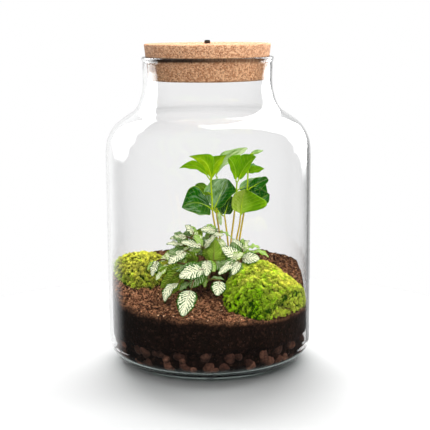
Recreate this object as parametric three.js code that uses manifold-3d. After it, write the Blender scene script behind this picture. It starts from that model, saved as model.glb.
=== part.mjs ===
// A closed glass jar garden: a straight-sided glass jar with a tapered cork, a bed of clay
// pebbles, soil banked up to the back, two cushions of moss, a white-veined foliage plant and
// six coffee seedlings. Units are millimetres, +Z is up, the jar stands on z = 0 round the Z
// axis, and -Y is the front.
import * as THREE from "three";
import { mergeVertices } from "three/addons/utils/BufferGeometryUtils.js";
import Module from "manifold-3d";

const wasm = await Module();
wasm.setup();

// ---------------------------------------------------------------- driving dimensions
const JAR_RADIUS = 95;
const JAR_WALL = 2.7;
const JAR_CORNER = 22;
const JAR_BASE = 7.3;
const JAR_UNDERSIDE_RECESS = 1.2;
const JAR_SEGMENTS = 36;
const BED_SEGMENTS = 18;
const SHOULDER_START = 187;
const NECK_RADIUS = 59.5;
const NECK_BORE = 57;
const RIM_RADIUS = 60.2;
const RIM_TOP = 283;

const CORK_TOP = 294.4;
const CORK_BOTTOM = 261;
const CORK_TOP_RADIUS = 58.1;
const CORK_BOTTOM_RADIUS = 54.2;
const CORK_CHAMFER = 1;
const STUD_RADIUS = 2.85;
const STUD_HEIGHT = 3.2;
const STUD_SHANK_RADIUS = 1.8;
const STUD_SHANK_LENGTH = 7;

const GAP = 0.35; // between pieces that touch
const INNER_RADIUS = JAR_RADIUS - JAR_WALL;
const INNER_CORNER = 18;
const CORNER_STEPS = 4;
const FILL_RADIUS = INNER_RADIUS - GAP;
const FILL_BOTTOM = JAR_BASE + GAP;

const SOIL_FRONT = 57; // height of the soil at the front glass
const SOIL_SIDE_TILT = -0.05; // it stands a little higher on the left
const SOIL_BACK = 84.5;
const BANK_START = -60; // y where the bank begins to rise
const BANK_SWEEP = 0.45; // the bank's foot runs back on the right
const BANK_LENGTH = 75;
const SOIL_LUMP = 0.7;
const SOIL_BOTTOM = 32;
const SOIL_RINGS = 9;

const BED_TOP = 31;
const BED_INSET = 3; // how far the pebbles stand out of the settled bed
const PEBBLE_ROWS = [
  { height: 14.5, count: 30, spread: 1 },
  { height: 23.5, count: 24, spread: 1.2 },
];
const PEBBLE_RADIUS = [5, 6.4];

const MOSS = {
  moss_right: { centre: [51, -35], half: [38, 41], height: 34, rings: 8, segments: 30 },
  moss_left: { centre: [-64, 6], half: [27.5, 33], height: 11, rings: 6, segments: 26 },
};
const MOSS_RELIEF = 0.9;
const MOSS_GAP = 0.42; // upwards, so that it is still 0.35 on the bank
const MOSS_EDGE_GAP = 0.5;

const STEM_DEPTH = 9; // how far a stem stands in the soil
const HOLE_CLEARANCE = 0.5;
const BLADE_THICKNESS = 0.9;
const STALK_HALF = 0.6;
const BLADE_START = 0.04; // where along a leaf its blade's first row of points lies
const STALK_AIM = 0.15; // the place along the midrib that a stalk's curve runs on to

// ---------------------------------------------------------------- small helpers
function randomSource(seed) {
  let state = seed >>> 0;
  return () => {
    state = (state + 0x6d2b79f5) >>> 0;
    let t = state;
    t = Math.imul(t ^ (t >>> 15), t | 1);
    t ^= t + Math.imul(t ^ (t >>> 7), t | 61);
    return ((t ^ (t >>> 14)) >>> 0) / 4294967296;
  };
}

function smoothstep(t) {
  const x = Math.min(Math.max(t, 0), 1);
  return x * x * (3 - 2 * x);
}

function closedGeometry(vertices, indices) {
  const geometry = new THREE.BufferGeometry();
  geometry.setAttribute("position", new THREE.Float32BufferAttribute(vertices, 3));
  geometry.setIndex(indices);
  return geometry;
}

function toSolid(geometry) {
  const plain = geometry.clone();
  for (const name of Object.keys(plain.attributes)) {
    if (name !== "position") plain.deleteAttribute(name);
  }
  const merged = mergeVertices(plain, 1e-4);
  const mesh = new wasm.Mesh({
    numProp: 3,
    vertProperties: new Float32Array(merged.attributes.position.array),
    triVerts: new Uint32Array(merged.index.array),
  });
  return new wasm.Manifold(mesh);
}

function toGeometry(solid) {
  const mesh = solid.getMesh();
  return closedGeometry(Array.from(mesh.vertProperties), Array.from(mesh.triVerts));
}

// The largest single body of a solid: loose scraps left by a cut are dropped.
function largestBody(solid) {
  const bodies = solid.decompose();
  return bodies.reduce((best, body) => (body.volume() > best.volume() ? body : best));
}

// Faces of a closed body whose vertices are a top point, rings of points and a bottom point.
function closeRings(indices, rings, segments) {
  const at = (ring, j) => 1 + (ring - 1) * segments + (j % segments);
  const last = 1 + rings * segments;
  for (let j = 0; j < segments; j++) {
    indices.push(0, at(1, j), at(1, j + 1));
    for (let i = 1; i < rings; i++) {
      indices.push(at(i, j), at(i + 1, j), at(i + 1, j + 1));
      indices.push(at(i, j), at(i + 1, j + 1), at(i, j + 1));
    }
    indices.push(last, at(rings, j + 1), at(rings, j));
  }
}

function latheGeometry(profile, segments) {
  const points = profile.map(([r, z]) => new THREE.Vector2(r, z));
  const geometry = new THREE.LatheGeometry(points, segments);
  return geometry.rotateX(Math.PI / 2);
}

function arcPoints(centre, radius, fromDegrees, toDegrees, steps) {
  const points = [];
  for (let i = 0; i <= steps; i++) {
    const angle = THREE.MathUtils.degToRad(fromDegrees + ((toDegrees - fromDegrees) * i) / steps);
    points.push([centre[0] + radius * Math.cos(angle), centre[1] + radius * Math.sin(angle)]);
  }
  return points;
}

function tube(points, radius, sides, steps) {
  const outline = new THREE.Shape();
  for (let i = 0; i < sides; i++) {
    const angle = (2 * Math.PI * i) / sides;
    const x = radius * Math.cos(angle);
    const y = radius * Math.sin(angle);
    if (i === 0) outline.moveTo(x, y);
    else outline.lineTo(x, y);
  }
  outline.closePath();
  const path = new THREE.CatmullRomCurve3(points.map((p) => new THREE.Vector3(...p)));
  const options = { steps, bevelEnabled: false, extrudePath: path };
  return new THREE.ExtrudeGeometry(outline, options);
}

// ---------------------------------------------------------------- jar
const SHOULDER = [
  [94.2, 202], [91.6, 212], [85.6, 221.6],
  [77, 228], [70, 232.3], [65, 238], [61.4, 247], [NECK_RADIUS, 257],
];

function jarGeometry() {
  const corner = [JAR_RADIUS - JAR_CORNER, JAR_CORNER];
  const outside = [
    [0, JAR_UNDERSIDE_RECESS], [56, JAR_UNDERSIDE_RECESS], [60, 0],
    ...arcPoints(corner, JAR_CORNER, -90, 0, CORNER_STEPS),
    [JAR_RADIUS, SHOULDER_START],
    ...SHOULDER,
    [NECK_RADIUS, 277], [RIM_RADIUS, 280.5], [RIM_RADIUS - 0.6, 282.4], [58.6, RIM_TOP],
  ];
  const shoulderInside = SHOULDER.slice(0, -1).map(([r, z], i) => {
    const [nextR, nextZ] = SHOULDER[i + 1];
    const normal = new THREE.Vector2(nextZ - z, r - nextR).normalize();
    return [Math.max(r - JAR_WALL * normal.x, NECK_BORE), z - JAR_WALL * normal.y];
  });
  const innerCorner = [INNER_RADIUS - INNER_CORNER, JAR_BASE + INNER_CORNER];
  const inside = [
    [NECK_BORE + 0.2, 282.2], [NECK_BORE, 280.5], [NECK_BORE, 255],
    ...shoulderInside.reverse(),
    [INNER_RADIUS, SHOULDER_START],
    ...arcPoints(innerCorner, INNER_CORNER, 0, -90, CORNER_STEPS),
    [0, JAR_BASE],
  ];
  return latheGeometry([...outside, ...inside], JAR_SEGMENTS);
}

// ---------------------------------------------------------------- cork and stud
function corkSolid() {
  const profile = [
    [0, CORK_BOTTOM],
    [CORK_BOTTOM_RADIUS - CORK_CHAMFER, CORK_BOTTOM],
    [CORK_BOTTOM_RADIUS, CORK_BOTTOM + CORK_CHAMFER],
    [CORK_TOP_RADIUS, CORK_TOP - CORK_CHAMFER],
    [CORK_TOP_RADIUS - CORK_CHAMFER, CORK_TOP],
    [0, CORK_TOP],
  ];
  const holeRadius = STUD_SHANK_RADIUS + HOLE_CLEARANCE;
  const hole = new THREE.CylinderGeometry(holeRadius, holeRadius, 2 * STUD_SHANK_LENGTH + 2, 12);
  hole.rotateX(Math.PI / 2).translate(0, 0, CORK_TOP);
  return toSolid(latheGeometry(profile, JAR_SEGMENTS)).subtract(toSolid(hole));
}

function studGeometry() {
  const foot = CORK_TOP + GAP;
  const top = CORK_TOP + STUD_HEIGHT;
  const profile = [
    [0, foot - STUD_SHANK_LENGTH],
    [STUD_SHANK_RADIUS, foot - STUD_SHANK_LENGTH],
    [STUD_SHANK_RADIUS, foot],
    [STUD_RADIUS, foot],
    [STUD_RADIUS, top - 0.6],
    [STUD_RADIUS - 0.6, top],
    [0, top],
  ];
  return latheGeometry(profile, 16);
}

// ---------------------------------------------------------------- what fills the jar
function soilHeight(x, y) {
  const front = SOIL_FRONT + SOIL_SIDE_TILT * x;
  const foot = BANK_START + BANK_SWEEP * Math.max(0, x);
  const bank = smoothstep((y - foot) / BANK_LENGTH);
  const lumps = Math.sin(0.19 * x + 0.7) * Math.cos(0.23 * y - 0.4) + Math.sin(0.11 * x - 0.16 * y);
  return front + (SOIL_BACK - front) * bank + SOIL_LUMP * lumps;
}

// The soil: a column with a flat underside, whose top is the height function.
function soilColumn(rings, segments) {
  const vertices = [0, 0, soilHeight(0, 0)];
  const indices = [];
  for (let i = 1; i <= rings; i++) {
    const r = (FILL_RADIUS * i) / rings;
    for (let j = 0; j < segments; j++) {
      const angle = (2 * Math.PI * j) / segments;
      const x = r * Math.cos(angle);
      const y = r * Math.sin(angle);
      vertices.push(x, y, soilHeight(x, y));
    }
  }
  for (let j = 0; j < segments; j++) {
    const angle = (2 * Math.PI * j) / segments;
    vertices.push(FILL_RADIUS * Math.cos(angle), FILL_RADIUS * Math.sin(angle), SOIL_BOTTOM);
  }
  vertices.push(0, 0, SOIL_BOTTOM);
  closeRings(indices, rings + 1, segments);
  return toSolid(closedGeometry(vertices, indices));
}

// Clay pebbles: twenty-sided stones sunk into the side of the settled bed they lie in.
function pebbleBed() {
  const random = randomSource(11);
  const cornerCentre = [INNER_RADIUS - INNER_CORNER, JAR_BASE + INNER_CORNER];
  const core = [
    [0, BED_TOP],
    [cornerCentre[0] + INNER_CORNER - BED_INSET, BED_TOP],
    ...arcPoints(cornerCentre, INNER_CORNER - BED_INSET, 0, -74, 3),
    [INNER_RADIUS - INNER_CORNER, FILL_BOTTOM],
    [0, FILL_BOTTOM],
  ];
  let bed = toSolid(latheGeometry(core.reverse(), BED_SEGMENTS));
  for (const row of PEBBLE_ROWS) {
    for (let i = 0; i < row.count; i++) {
      const radius = PEBBLE_RADIUS[0] + (PEBBLE_RADIUS[1] - PEBBLE_RADIUS[0]) * random();
      const height = row.height + row.spread * (2 * random() - 1);
      const angle = (2 * Math.PI * (i + 0.5 * random())) / row.count + row.height;
      const flatten = 0.82 + 0.15 * random();
      const rise = Math.max(0, cornerCentre[1] - height);
      const reach = INNER_CORNER - radius - 3 * GAP;
      const inward = Math.sqrt(Math.max(reach ** 2 - rise ** 2, 0));
      const out = cornerCentre[0] + inward;
      const stone = new THREE.IcosahedronGeometry(radius, 0);
      stone.rotateX(6 * random()).rotateY(6 * random()).scale(1, 1, flatten);
      stone.translate(out * Math.cos(angle), out * Math.sin(angle), height);
      bed = bed.add(toSolid(stone));
    }
  }
  return bed;
}

// A moss cushion: a polar height field with small tufts in relief, clipped at the glass.
function mossDome(moss) {
  const { rings, segments } = moss;
  const vertices = [];
  const indices = [];
  const [cx, cy] = moss.centre;
  const limit = FILL_RADIUS - MOSS_EDGE_GAP;
  const edgeAt = (angle) => {
    const dx = moss.half[0] * Math.cos(angle);
    const dy = moss.half[1] * Math.sin(angle);
    const a = dx * dx + dy * dy;
    const b = 2 * (cx * dx + cy * dy);
    const c = cx * cx + cy * cy - limit * limit;
    return Math.min(1, (-b + Math.sqrt(b * b - 4 * a * c)) / (2 * a));
  };
  const point = (rho, angle) => {
    const x = cx + rho * moss.half[0] * Math.cos(angle);
    const y = cy + rho * moss.half[1] * Math.sin(angle);
    const swell = moss.height * Math.pow(Math.max(1 - Math.pow(rho, 2.6), 0), 0.55);
    const tufts = Math.sin(0.62 * x + 1.3 * Math.sin(0.31 * y)) * Math.sin(0.58 * y + 0.9);
    return [x, y, soilHeight(x, y) + swell + MOSS_RELIEF * tufts * Math.min(1, swell / 5)];
  };
  vertices.push(...point(0, 0));
  for (let i = 1; i <= rings; i++) {
    for (let j = 0; j < segments; j++) {
      const angle = (2 * Math.PI * j) / segments;
      const rho = edgeAt(angle) * Math.pow(i / rings, 0.8);
      vertices.push(...point(rho, angle));
    }
  }
  for (let j = 0; j < segments; j++) {
    const angle = (2 * Math.PI * j) / segments;
    const [x, y] = point(edgeAt(angle), angle);
    vertices.push(x, y, SOIL_BOTTOM);
  }
  vertices.push(cx, cy, SOIL_BOTTOM);
  closeRings(indices, rings + 1, segments);
  return toSolid(closedGeometry(vertices, indices));
}

// ---------------------------------------------------------------- leaves
// Half-width along a leaf, 0 at the stalk and 1 at the tip, as a share of the widest place.
const OUTLINES = {
  pointed: (u) => Math.pow(Math.sin(Math.PI * Math.pow(u, 0.95)), 0.75) * (1 - 0.35 * u ** 4),
  round: (u) => Math.pow(Math.sin(Math.PI * (0.06 + 0.9 * Math.pow(u, 0.8))), 0.55),
  oval: (u) => Math.pow(Math.sin(Math.PI * Math.pow(u, 0.85)), 0.7),
};
const BLADE_GRID = {
  pointed: { along: 7, across: 2, wave: 0.9, waves: 2.5, tooth: 0 },
  round: { along: 7, across: 2, wave: 1.1, waves: 2, tooth: 0 },
  oval: { along: 6, across: 2, wave: 0.5, waves: 2, tooth: 0.05 },
};

// A leaf's midrib runs from base to tip, bowed by arch along its upper normal and by sweep
// sideways. Fold lifts its two halves into a V.
function leafFrame(leaf) {
  const base = new THREE.Vector3(...leaf.base);
  const tip = new THREE.Vector3(...leaf.tip);
  const chord = tip.clone().sub(base);
  const along = chord.clone().normalize();
  const normal = new THREE.Vector3(...leaf.face);
  normal.addScaledVector(along, -normal.dot(along)).normalize();
  const side = new THREE.Vector3().crossVectors(along, normal);
  const midrib = (u) => {
    const bow = 4 * u * (1 - u);
    const point = base.clone().addScaledVector(chord, u);
    return point.addScaledVector(normal, leaf.arch * bow).addScaledVector(side, leaf.sweep * bow);
  };
  return { along, normal, side, midrib };
}

// One leaf as one closed strip: the stalk's rows from the stem to the leaf's base, then the
// blade's rows. Both faces are split into triangles alike.
function leafSolid(leaf, kind, stemPoint) {
  const { along, normal, side, midrib } = leafFrame(leaf);
  const grid = BLADE_GRID[kind];
  const outline = OUTLINES[kind];
  const rows = [];
  const knots = [stemPoint, ...leaf.via, leaf.base].map((p) => new THREE.Vector3(...p));
  const stalk = new THREE.CatmullRomCurve3([...knots, midrib(STALK_AIM)]);
  let frame = { along, normal, side };
  for (let k = knots.length - 1; k >= 0; k--) {
    const t = k / knots.length;
    const heading = stalk.getTangent(t);
    const turn = new THREE.Quaternion().setFromUnitVectors(frame.along, heading);
    frame = {
      along: heading,
      normal: frame.normal.clone().applyQuaternion(turn),
      side: frame.side.clone().applyQuaternion(turn),
    };
    const centre = stalk.getPoint(t);
    rows.unshift({ centre, ...frame, half: STALK_HALF, thick: 2 * STALK_HALF, isStalk: true, u: 0 });
  }
  for (let i = 0; i <= grid.along; i++) {
    const u = BLADE_START + ((1 - BLADE_START) * i) / grid.along;
    const tooth = 1 + grid.tooth * (i % 2 ? 1 : -1);
    const half = Math.max((leaf.width / 2) * outline(u) * tooth, STALK_HALF);
    rows.push({ centre: midrib(u), normal, side, half, thick: BLADE_THICKNESS, isStalk: false, u });
  }
  const columns = grid.across + 1;
  const layer = rows.length * columns;
  const vertices = [];
  for (const face of [0.5, -0.5]) {
    for (const row of rows) {
      for (let j = 0; j < columns; j++) {
        const s = (2 * j) / grid.across - 1;
        const share = row.isStalk ? 0 : (2 * row.half) / leaf.width;
        const ripple = grid.wave * Math.sin(2 * Math.PI * grid.waves * row.u + 2 * s) * s * s;
        const lift = share * (leaf.fold * Math.abs(s) * (leaf.width / 2) + ripple);
        const point = row.centre.clone().addScaledVector(row.side, s * row.half);
        point.addScaledVector(row.normal, lift + face * row.thick);
        vertices.push(point.x, point.y, point.z);
      }
    }
  }
  return toSolid(closedGeometry(vertices, stripFaces(rows.length, grid.across, layer)));
}

function stripFaces(rowCount, across, layer) {
  const indices = [];
  const at = (i, j) => i * (across + 1) + j;
  const quad = (a, b, c, d) => indices.push(a, c, b, a, d, c);
  const end = rowCount - 1;
  for (let i = 0; i < end; i++) {
    for (let j = 0; j < across; j++) {
      const [a, b, c, d] = [at(i, j), at(i + 1, j), at(i + 1, j + 1), at(i, j + 1)];
      quad(a, b, c, d);
      indices.push(a + layer, b + layer, c + layer, a + layer, c + layer, d + layer);
    }
    quad(at(i, 0), at(i, 0) + layer, at(i + 1, 0) + layer, at(i + 1, 0));
    quad(at(i, across), at(i + 1, across), at(i + 1, across) + layer, at(i, across) + layer);
  }
  for (let j = 0; j < across; j++) {
    quad(at(0, j), at(0, j + 1), at(0, j + 1) + layer, at(0, j) + layer);
    quad(at(end, j), at(end, j) + layer, at(end, j + 1) + layer, at(end, j + 1));
  }
  return indices;
}

// ---------------------------------------------------------------- plants
// Each stem: foot on the soil, the points it rises through, and its leaves. A leaf gives the
// stem point it grows from as "from", and may give more points for its stalk as "via".
const LEAF_DEFAULTS = { arch: 0, fold: 0, sweep: 0, via: [] };

const COFFEE = {
  kindOfStem: { radius: 0.95, sides: 6, stepsPerPoint: 1.6 },
  plants: {
    coffee_1: {
      foot: [11, 11],
      rise: [[8, 10, 116], [4, 9, 138], [3, 9, 152], [2, 9, 167]],
      leaves: [
        { kind: "round", from: 1, base: [3, 8, 139], tip: [-24, -6, 147], width: 26,
          face: [0.25, -0.75, 0.6], arch: 2, fold: 0.25, sweep: 3 },
        { kind: "round", from: 2, base: [2, 12, 151], tip: [-11, 26, 160], width: 14,
          face: [0.5, -0.8, 0.3], arch: 1 },
        { kind: "pointed", from: 3, base: [1, 8, 168], tip: [-27, -2, 180], width: 13,
          face: [0.1, -0.75, 0.7], arch: 2, fold: 0.15, sweep: 2 },
        { kind: "pointed", from: 3, base: [2, 10, 168], tip: [-18, 14, 189], width: 19,
          face: [0.5, -0.8, -0.1], arch: -1, fold: -0.2, sweep: 3 },
        { kind: "pointed", from: 3, base: [3, 12, 167], tip: [17, 23, 189], width: 20,
          face: [-0.4, -0.85, 0.1], arch: -1, fold: -0.2, sweep: 1 },
      ],
    },
    coffee_2: {
      foot: [10, 18],
      rise: [[10, 17, 110], [6, 15, 137], [7, 20, 155], [9, 23, 168]],
      leaves: [
        { kind: "round", from: 1, base: [5, 12, 139], tip: [16, 14, 167], width: 29,
          face: [-0.3, -0.9, 0.25], arch: -3, fold: -0.15 },
        { kind: "round", from: 1, base: [9, 13, 138], tip: [12, 4, 126], width: 5,
          face: [-1, -0.5, 0.2] },
        { kind: "pointed", from: 3, base: [10, 25, 170], tip: [37, 38, 195], width: 15,
          face: [-0.3, -0.9, 0.3], arch: 2, sweep: -3.5 },
      ],
    },
    coffee_3: {
      foot: [19, 10],
      rise: [[18, 12, 106], [16, 16, 124], [15, 18, 131]],
      leaves: [
        { kind: "round", from: 2, base: [15, 19, 132], tip: [21, 26, 149], width: 13,
          face: [0, -1, 0.1] },
        { kind: "round", from: 2, base: [13, 21, 131], tip: [-4, 36, 139], width: 17,
          face: [-0.2, 0.3, 0.9], arch: 2 },
      ],
    },
    coffee_4: {
      foot: [20, 18],
      rise: [[21, 18, 106], [24, 19, 130], [26, 19, 150], [27, 17, 164]],
      leaves: [
        { kind: "round", from: 2, base: [28, 25, 155], tip: [51, 44, 162], width: 14,
          face: [-0.1, -0.95, 0.3], arch: 2, fold: 0.1 },
        { kind: "pointed", from: 3, base: [26, 14, 165], tip: [19, 6, 188], width: 14,
          face: [0.6, -0.8, 0.1], arch: -1, fold: -0.2, sweep: 2 },
        { kind: "pointed", from: 3, base: [28, 16, 165], tip: [45, 15, 188], width: 17,
          face: [-0.35, -0.93, 0.1], arch: -1, fold: -0.2, sweep: 1 },
      ],
    },
    coffee_5: {
      foot: [25, 11],
      rise: [[26, 10, 108], [29, 9, 124], [30, 8, 133]],
      leaves: [
        { kind: "round", from: 2, base: [30, 7, 134], tip: [42, -5, 160], width: 36,
          face: [-0.1, 0.75, 0.5], arch: 4, fold: 0.2 },
        { kind: "round", from: 2, base: [32, 12, 135], tip: [57, 24, 151], width: 20,
          face: [-0.1, -0.85, 0.5], arch: 2, fold: 0.1 },
      ],
    },
    coffee_6: {
      foot: [28, 18],
      rise: [[29, 18, 106], [33, 21, 130], [36, 23, 148], [37, 22, 158], [38, 25, 183]],
      leaves: [
        { kind: "round", from: 2, base: [39, 25, 156], tip: [57, 32, 165], width: 12,
          face: [-0.4, -0.9, 0.3], arch: 1 },
        { kind: "pointed", from: 4, base: [40, 26, 174], tip: [54, 20, 180], width: 9,
          face: [0.1, -0.8, 0.6], arch: 1, fold: 0.1 },
        { kind: "pointed", from: 4, base: [38, 26, 178], tip: [48, 34, 180], width: 8,
          face: [0, -0.9, 0.4], arch: 1 },
        { kind: "pointed", from: 4, base: [38, 24, 186], tip: [53, 36, 191], width: 7,
          face: [-0.3, -0.9, 0.3], arch: 1 },
      ],
    },
  },
};

const NERVE_PLANT = {
  kindOfStem: { radius: 0.9, sides: 5, stepsPerPoint: 1.6 },
  plants: {
    nerve_plant_front: {
      foot: [-8, -28],
      rise: [[-9, -34, 84], [-12, -48, 92], [-14, -60, 86]],
      leaves: [
        { from: 2, base: [-16, -66, 80], tip: [-23, -85, 60], width: 17.5,
          face: [-0.1, -0.8, 0.6], arch: 3, fold: 0.1 },
        { from: 1, base: [-5, -47, 94], tip: [-27, -58, 89], width: 16,
          face: [0.2, -0.8, 0.65], arch: 3, fold: 0.1 },
      ],
    },
    nerve_plant_left: {
      foot: [-15, -20],
      rise: [[-16, -26, 88], [-20, -33, 95], [-31, -35, 98], [-42, -31, 100]],
      leaves: [
        { from: 1, base: [-27, -52, 83], tip: [-39, -68, 69], width: 12,
          face: [-0.55, -0.75, 0.45], arch: 3, fold: 0.1, sweep: 2, via: [[-24, -44, 90]] },
        { from: 1, base: [-23, -36, 92], tip: [-44, -48, 77], width: 16,
          face: [-0.3, 0.8, 0.5], arch: 2 },
        { from: 3, base: [-47, -30, 99], tip: [-52, -36, 85], width: 9,
          face: [-0.5, -0.8, 0.2], arch: 1 },
        { from: 1, base: [-11, -28, 97], tip: [-31, -30, 99], width: 11,
          face: [0, 0.6, 0.8], arch: 2 },
        { from: 2, base: [-37, -36, 97], tip: [-48, -44, 83], width: 9,
          face: [-0.7, -0.65, 0.3], arch: 1 },
      ],
    },
    nerve_plant_middle: {
      foot: [1, -24],
      rise: [[1, -29, 86], [0, -33, 96]],
      leaves: [
        { from: 1, base: [-2, -38, 101], tip: [-2, -46, 87], width: 11,
          face: [0, -0.9, 0.5], arch: 1, fold: 0.2 },
        { from: 1, base: [4, -27, 97], tip: [5, -21, 117], width: 14,
          face: [0.2, 0.9, 0.2], arch: 2, fold: 0.1 },
        { from: 0, base: [10, -58, 86], tip: [7, -66, 74], width: 14,
          face: [-0.1, -0.85, 0.5], arch: 1, via: [[0, -50, 86]] },
      ],
    },
    nerve_plant_top: {
      foot: [-9, -10],
      rise: [[-10, -12, 96], [-13, -15, 110], [-17, -16, 117]],
      leaves: [
        { from: 1, base: [-21, -28, 107], tip: [-37, -40, 97], width: 12,
          face: [-0.2, -0.75, 0.6], arch: 2 },
        { from: 2, base: [-14, -13, 120], tip: [-22, -18, 129], width: 9,
          face: [0.2, -0.7, 0.7], arch: 1 },
        { from: 2, base: [-20, -16, 118], tip: [-36, -20, 117], width: 9,
          face: [-0.1, -0.6, 0.8], arch: 1 },
        { from: 1, base: [-23, -22, 112], tip: [-39, -30, 114], width: 7,
          face: [0, -0.5, 0.85], arch: 1 },
        { from: 1, base: [-6, -24, 110], tip: [-26, -30, 116], width: 9,
          face: [0.1, -0.7, 0.7], arch: 1 },
        { from: 1, base: [-28, -20, 106], tip: [-45, -28, 97], width: 10,
          face: [-0.5, -0.7, 0.5], arch: 1 },
      ],
    },
    nerve_plant_crown: {
      foot: [-1, -11],
      rise: [[-1, -13, 98], [0, -12, 112], [3, -9, 119]],
      leaves: [
        { from: 2, base: [7, -8, 121], tip: [-8, -14, 124], width: 10,
          face: [0, -0.7, 0.7], arch: 1.5 },
        { from: 2, base: [9, -7, 121], tip: [22, -3, 113], width: 6,
          face: [0.2, -0.25, 0.95], arch: 2 },
        { from: 1, base: [1, -13, 118], tip: [14, -14, 119], width: 6,
          face: [0, -0.6, 0.8], arch: 1 },
        { from: 1, base: [-5, -18, 107], tip: [6, -24, 120.5], width: 7,
          face: [-0.4, -0.8, 0.4], arch: 1 },
      ],
    },
    nerve_plant_right: {
      foot: [9, -17],
      rise: [[10, -18, 86], [18, -20, 95], [26, -20, 97]],
      leaves: [
        { from: 2, base: [27, -24, 97], tip: [8, -40, 87], width: 10,
          face: [-0.1, -0.7, 0.7], arch: 2 },
        { from: 2, base: [28, -28, 97], tip: [21, -38, 86], width: 9,
          face: [-0.1, -0.9, 0.4], arch: 1, fold: 0.1 },
        { from: 2, base: [29, -16, 97], tip: [11, -19, 108], width: 13,
          face: [0, -0.85, 0.5], arch: 2 },
        { from: 2, base: [30, -19, 97], tip: [47, -22, 98], width: 13,
          face: [0.1, -0.8, 0.6], arch: 2 },
      ],
    },
    nerve_plant_right_back: {
      foot: [7, -7],
      rise: [[9, -6, 92], [20, -6, 99], [31, -5, 102]],
      leaves: [
        { from: 2, base: [40, -3, 101], tip: [56, -8, 96], width: 8,
          face: [0.2, -0.3, 0.9], arch: 3 },
        { from: 2, base: [30, -5, 106], tip: [38, -6, 112], width: 6,
          face: [0.2, -0.6, 0.8], arch: 0.5 },
        { from: 2, base: [31, -10, 104], tip: [22, -13, 115], width: 8,
          face: [-0.2, -0.8, 0.5], arch: 1 },
        { from: 2, base: [35, -4, 104], tip: [48, -5, 105], width: 7,
          face: [0.1, -0.3, 0.95], arch: 2 },
      ],
    },
    nerve_plant_back: {
      foot: [-14, 1],
      rise: [[-14, 3, 96], [-15, 5, 104]],
      leaves: [
        { from: 1, base: [-18, 6, 107], tip: [-36, 10, 111], width: 10,
          face: [-0.2, 0.3, 0.95], arch: 2 },
        { from: 1, base: [-17, 9, 105], tip: [-22, 28, 103], width: 12,
          face: [-0.1, 0.5, 0.85], arch: 3 },
        { from: 1, base: [-13, 8, 104], tip: [-4, 25, 97], width: 11,
          face: [0.3, 0.4, 0.85], arch: 2 },
        { from: 1, base: [-13, 7, 108], tip: [-7, 16, 120], width: 9,
          face: [0.2, 0.7, 0.5], arch: 1 },
        { from: 0, base: [-18, 5, 99], tip: [-35, 16, 100], width: 11,
          face: [-0.4, 0.3, 0.85], arch: 2 },
      ],
    },
  },
};

// One leafy stem fused into one body: the stem, each leaf's stalk and each blade.
function leafyStem(plant, stem, defaultKind) {
  const [x, y] = plant.foot;
  const ground = soilHeight(x, y);
  const path = [[x, y, ground + 0.5], ...plant.rise];
  const steps = Math.round(stem.stepsPerPoint * (path.length - 1));
  const peg = new THREE.CylinderGeometry(stem.radius * 1.1, stem.radius, STEM_DEPTH + 1, stem.sides);
  peg.rotateX(Math.PI / 2).translate(x, y, ground + 1.5 - STEM_DEPTH / 2);
  let body = toSolid(peg).add(toSolid(tube(path, stem.radius, stem.sides, steps)));
  for (const entry of plant.leaves) {
    const leaf = { ...LEAF_DEFAULTS, ...entry };
    const kind = leaf.kind ?? defaultKind;
    body = body.add(leafSolid(leaf, kind, plant.rise[leaf.from]));
  }
  return largestBody(body);
}

function stemHole(plant, stem) {
  const [x, y] = plant.foot;
  const ground = soilHeight(x, y);
  const radius = stem.radius + HOLE_CLEARANCE;
  const height = 2 * STEM_DEPTH;
  const hole = new THREE.CylinderGeometry(radius, radius, height, 8);
  hole.rotateX(Math.PI / 2).translate(x, y, ground);
  return toSolid(hole);
}

// ---------------------------------------------------------------- assembly
const MATERIALS = {
  glass: { color: 0xeaf2ee, roughness: 0.02, metalness: 0, transparent: true, opacity: 0.3 },
  cork: { color: 0xc79b6d, roughness: 0.85, metalness: 0 },
  stud: { color: 0x0b0b0c, roughness: 0.2, metalness: 0 },
  soil: { color: 0x3a241b, roughness: 0.95, metalness: 0 },
  clay: { color: 0x5a3527, roughness: 0.9, metalness: 0 },
  moss: { color: 0x86a51f, roughness: 0.9, metalness: 0 },
  coffee: { color: 0x3f7a1d, roughness: 0.35, metalness: 0 },
  nerve_plant: { color: 0xd8e2c8, roughness: 0.6, metalness: 0 },
};

const terrarium = new THREE.Group();

function addPiece(name, geometry, finish) {
  const mesh = new THREE.Mesh(geometry, new THREE.MeshStandardMaterial(MATERIALS[finish]));
  mesh.name = name;
  terrarium.add(mesh);
}

addPiece("jar", jarGeometry(), "glass");
addPiece("cork_lid", toGeometry(corkSolid()), "cork");
addPiece("lid_stud", studGeometry(), "stud");

const unpiercedSoil = soilColumn(SOIL_RINGS, JAR_SEGMENTS);
let soil = unpiercedSoil;
for (const family of [COFFEE, NERVE_PLANT]) {
  for (const plant of Object.values(family.plants)) {
    soil = soil.subtract(stemHole(plant, family.kindOfStem));
  }
}
addPiece("soil", toGeometry(largestBody(soil)), "soil");
addPiece("clay_pebbles", toGeometry(pebbleBed()), "clay");

const raisedSoil = unpiercedSoil.translate(0, 0, MOSS_GAP);
for (const [name, moss] of Object.entries(MOSS)) {
  const cushion = mossDome(moss).subtract(raisedSoil);
  addPiece(name, toGeometry(largestBody(cushion)), "moss");
}
for (const [name, plant] of Object.entries(COFFEE.plants)) {
  addPiece(name, toGeometry(leafyStem(plant, COFFEE.kindOfStem, "pointed")), "coffee");
}
for (const [name, plant] of Object.entries(NERVE_PLANT.plants)) {
  addPiece(name, toGeometry(leafyStem(plant, NERVE_PLANT.kindOfStem, "oval")), "nerve_plant");
}

export default terrarium;
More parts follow.
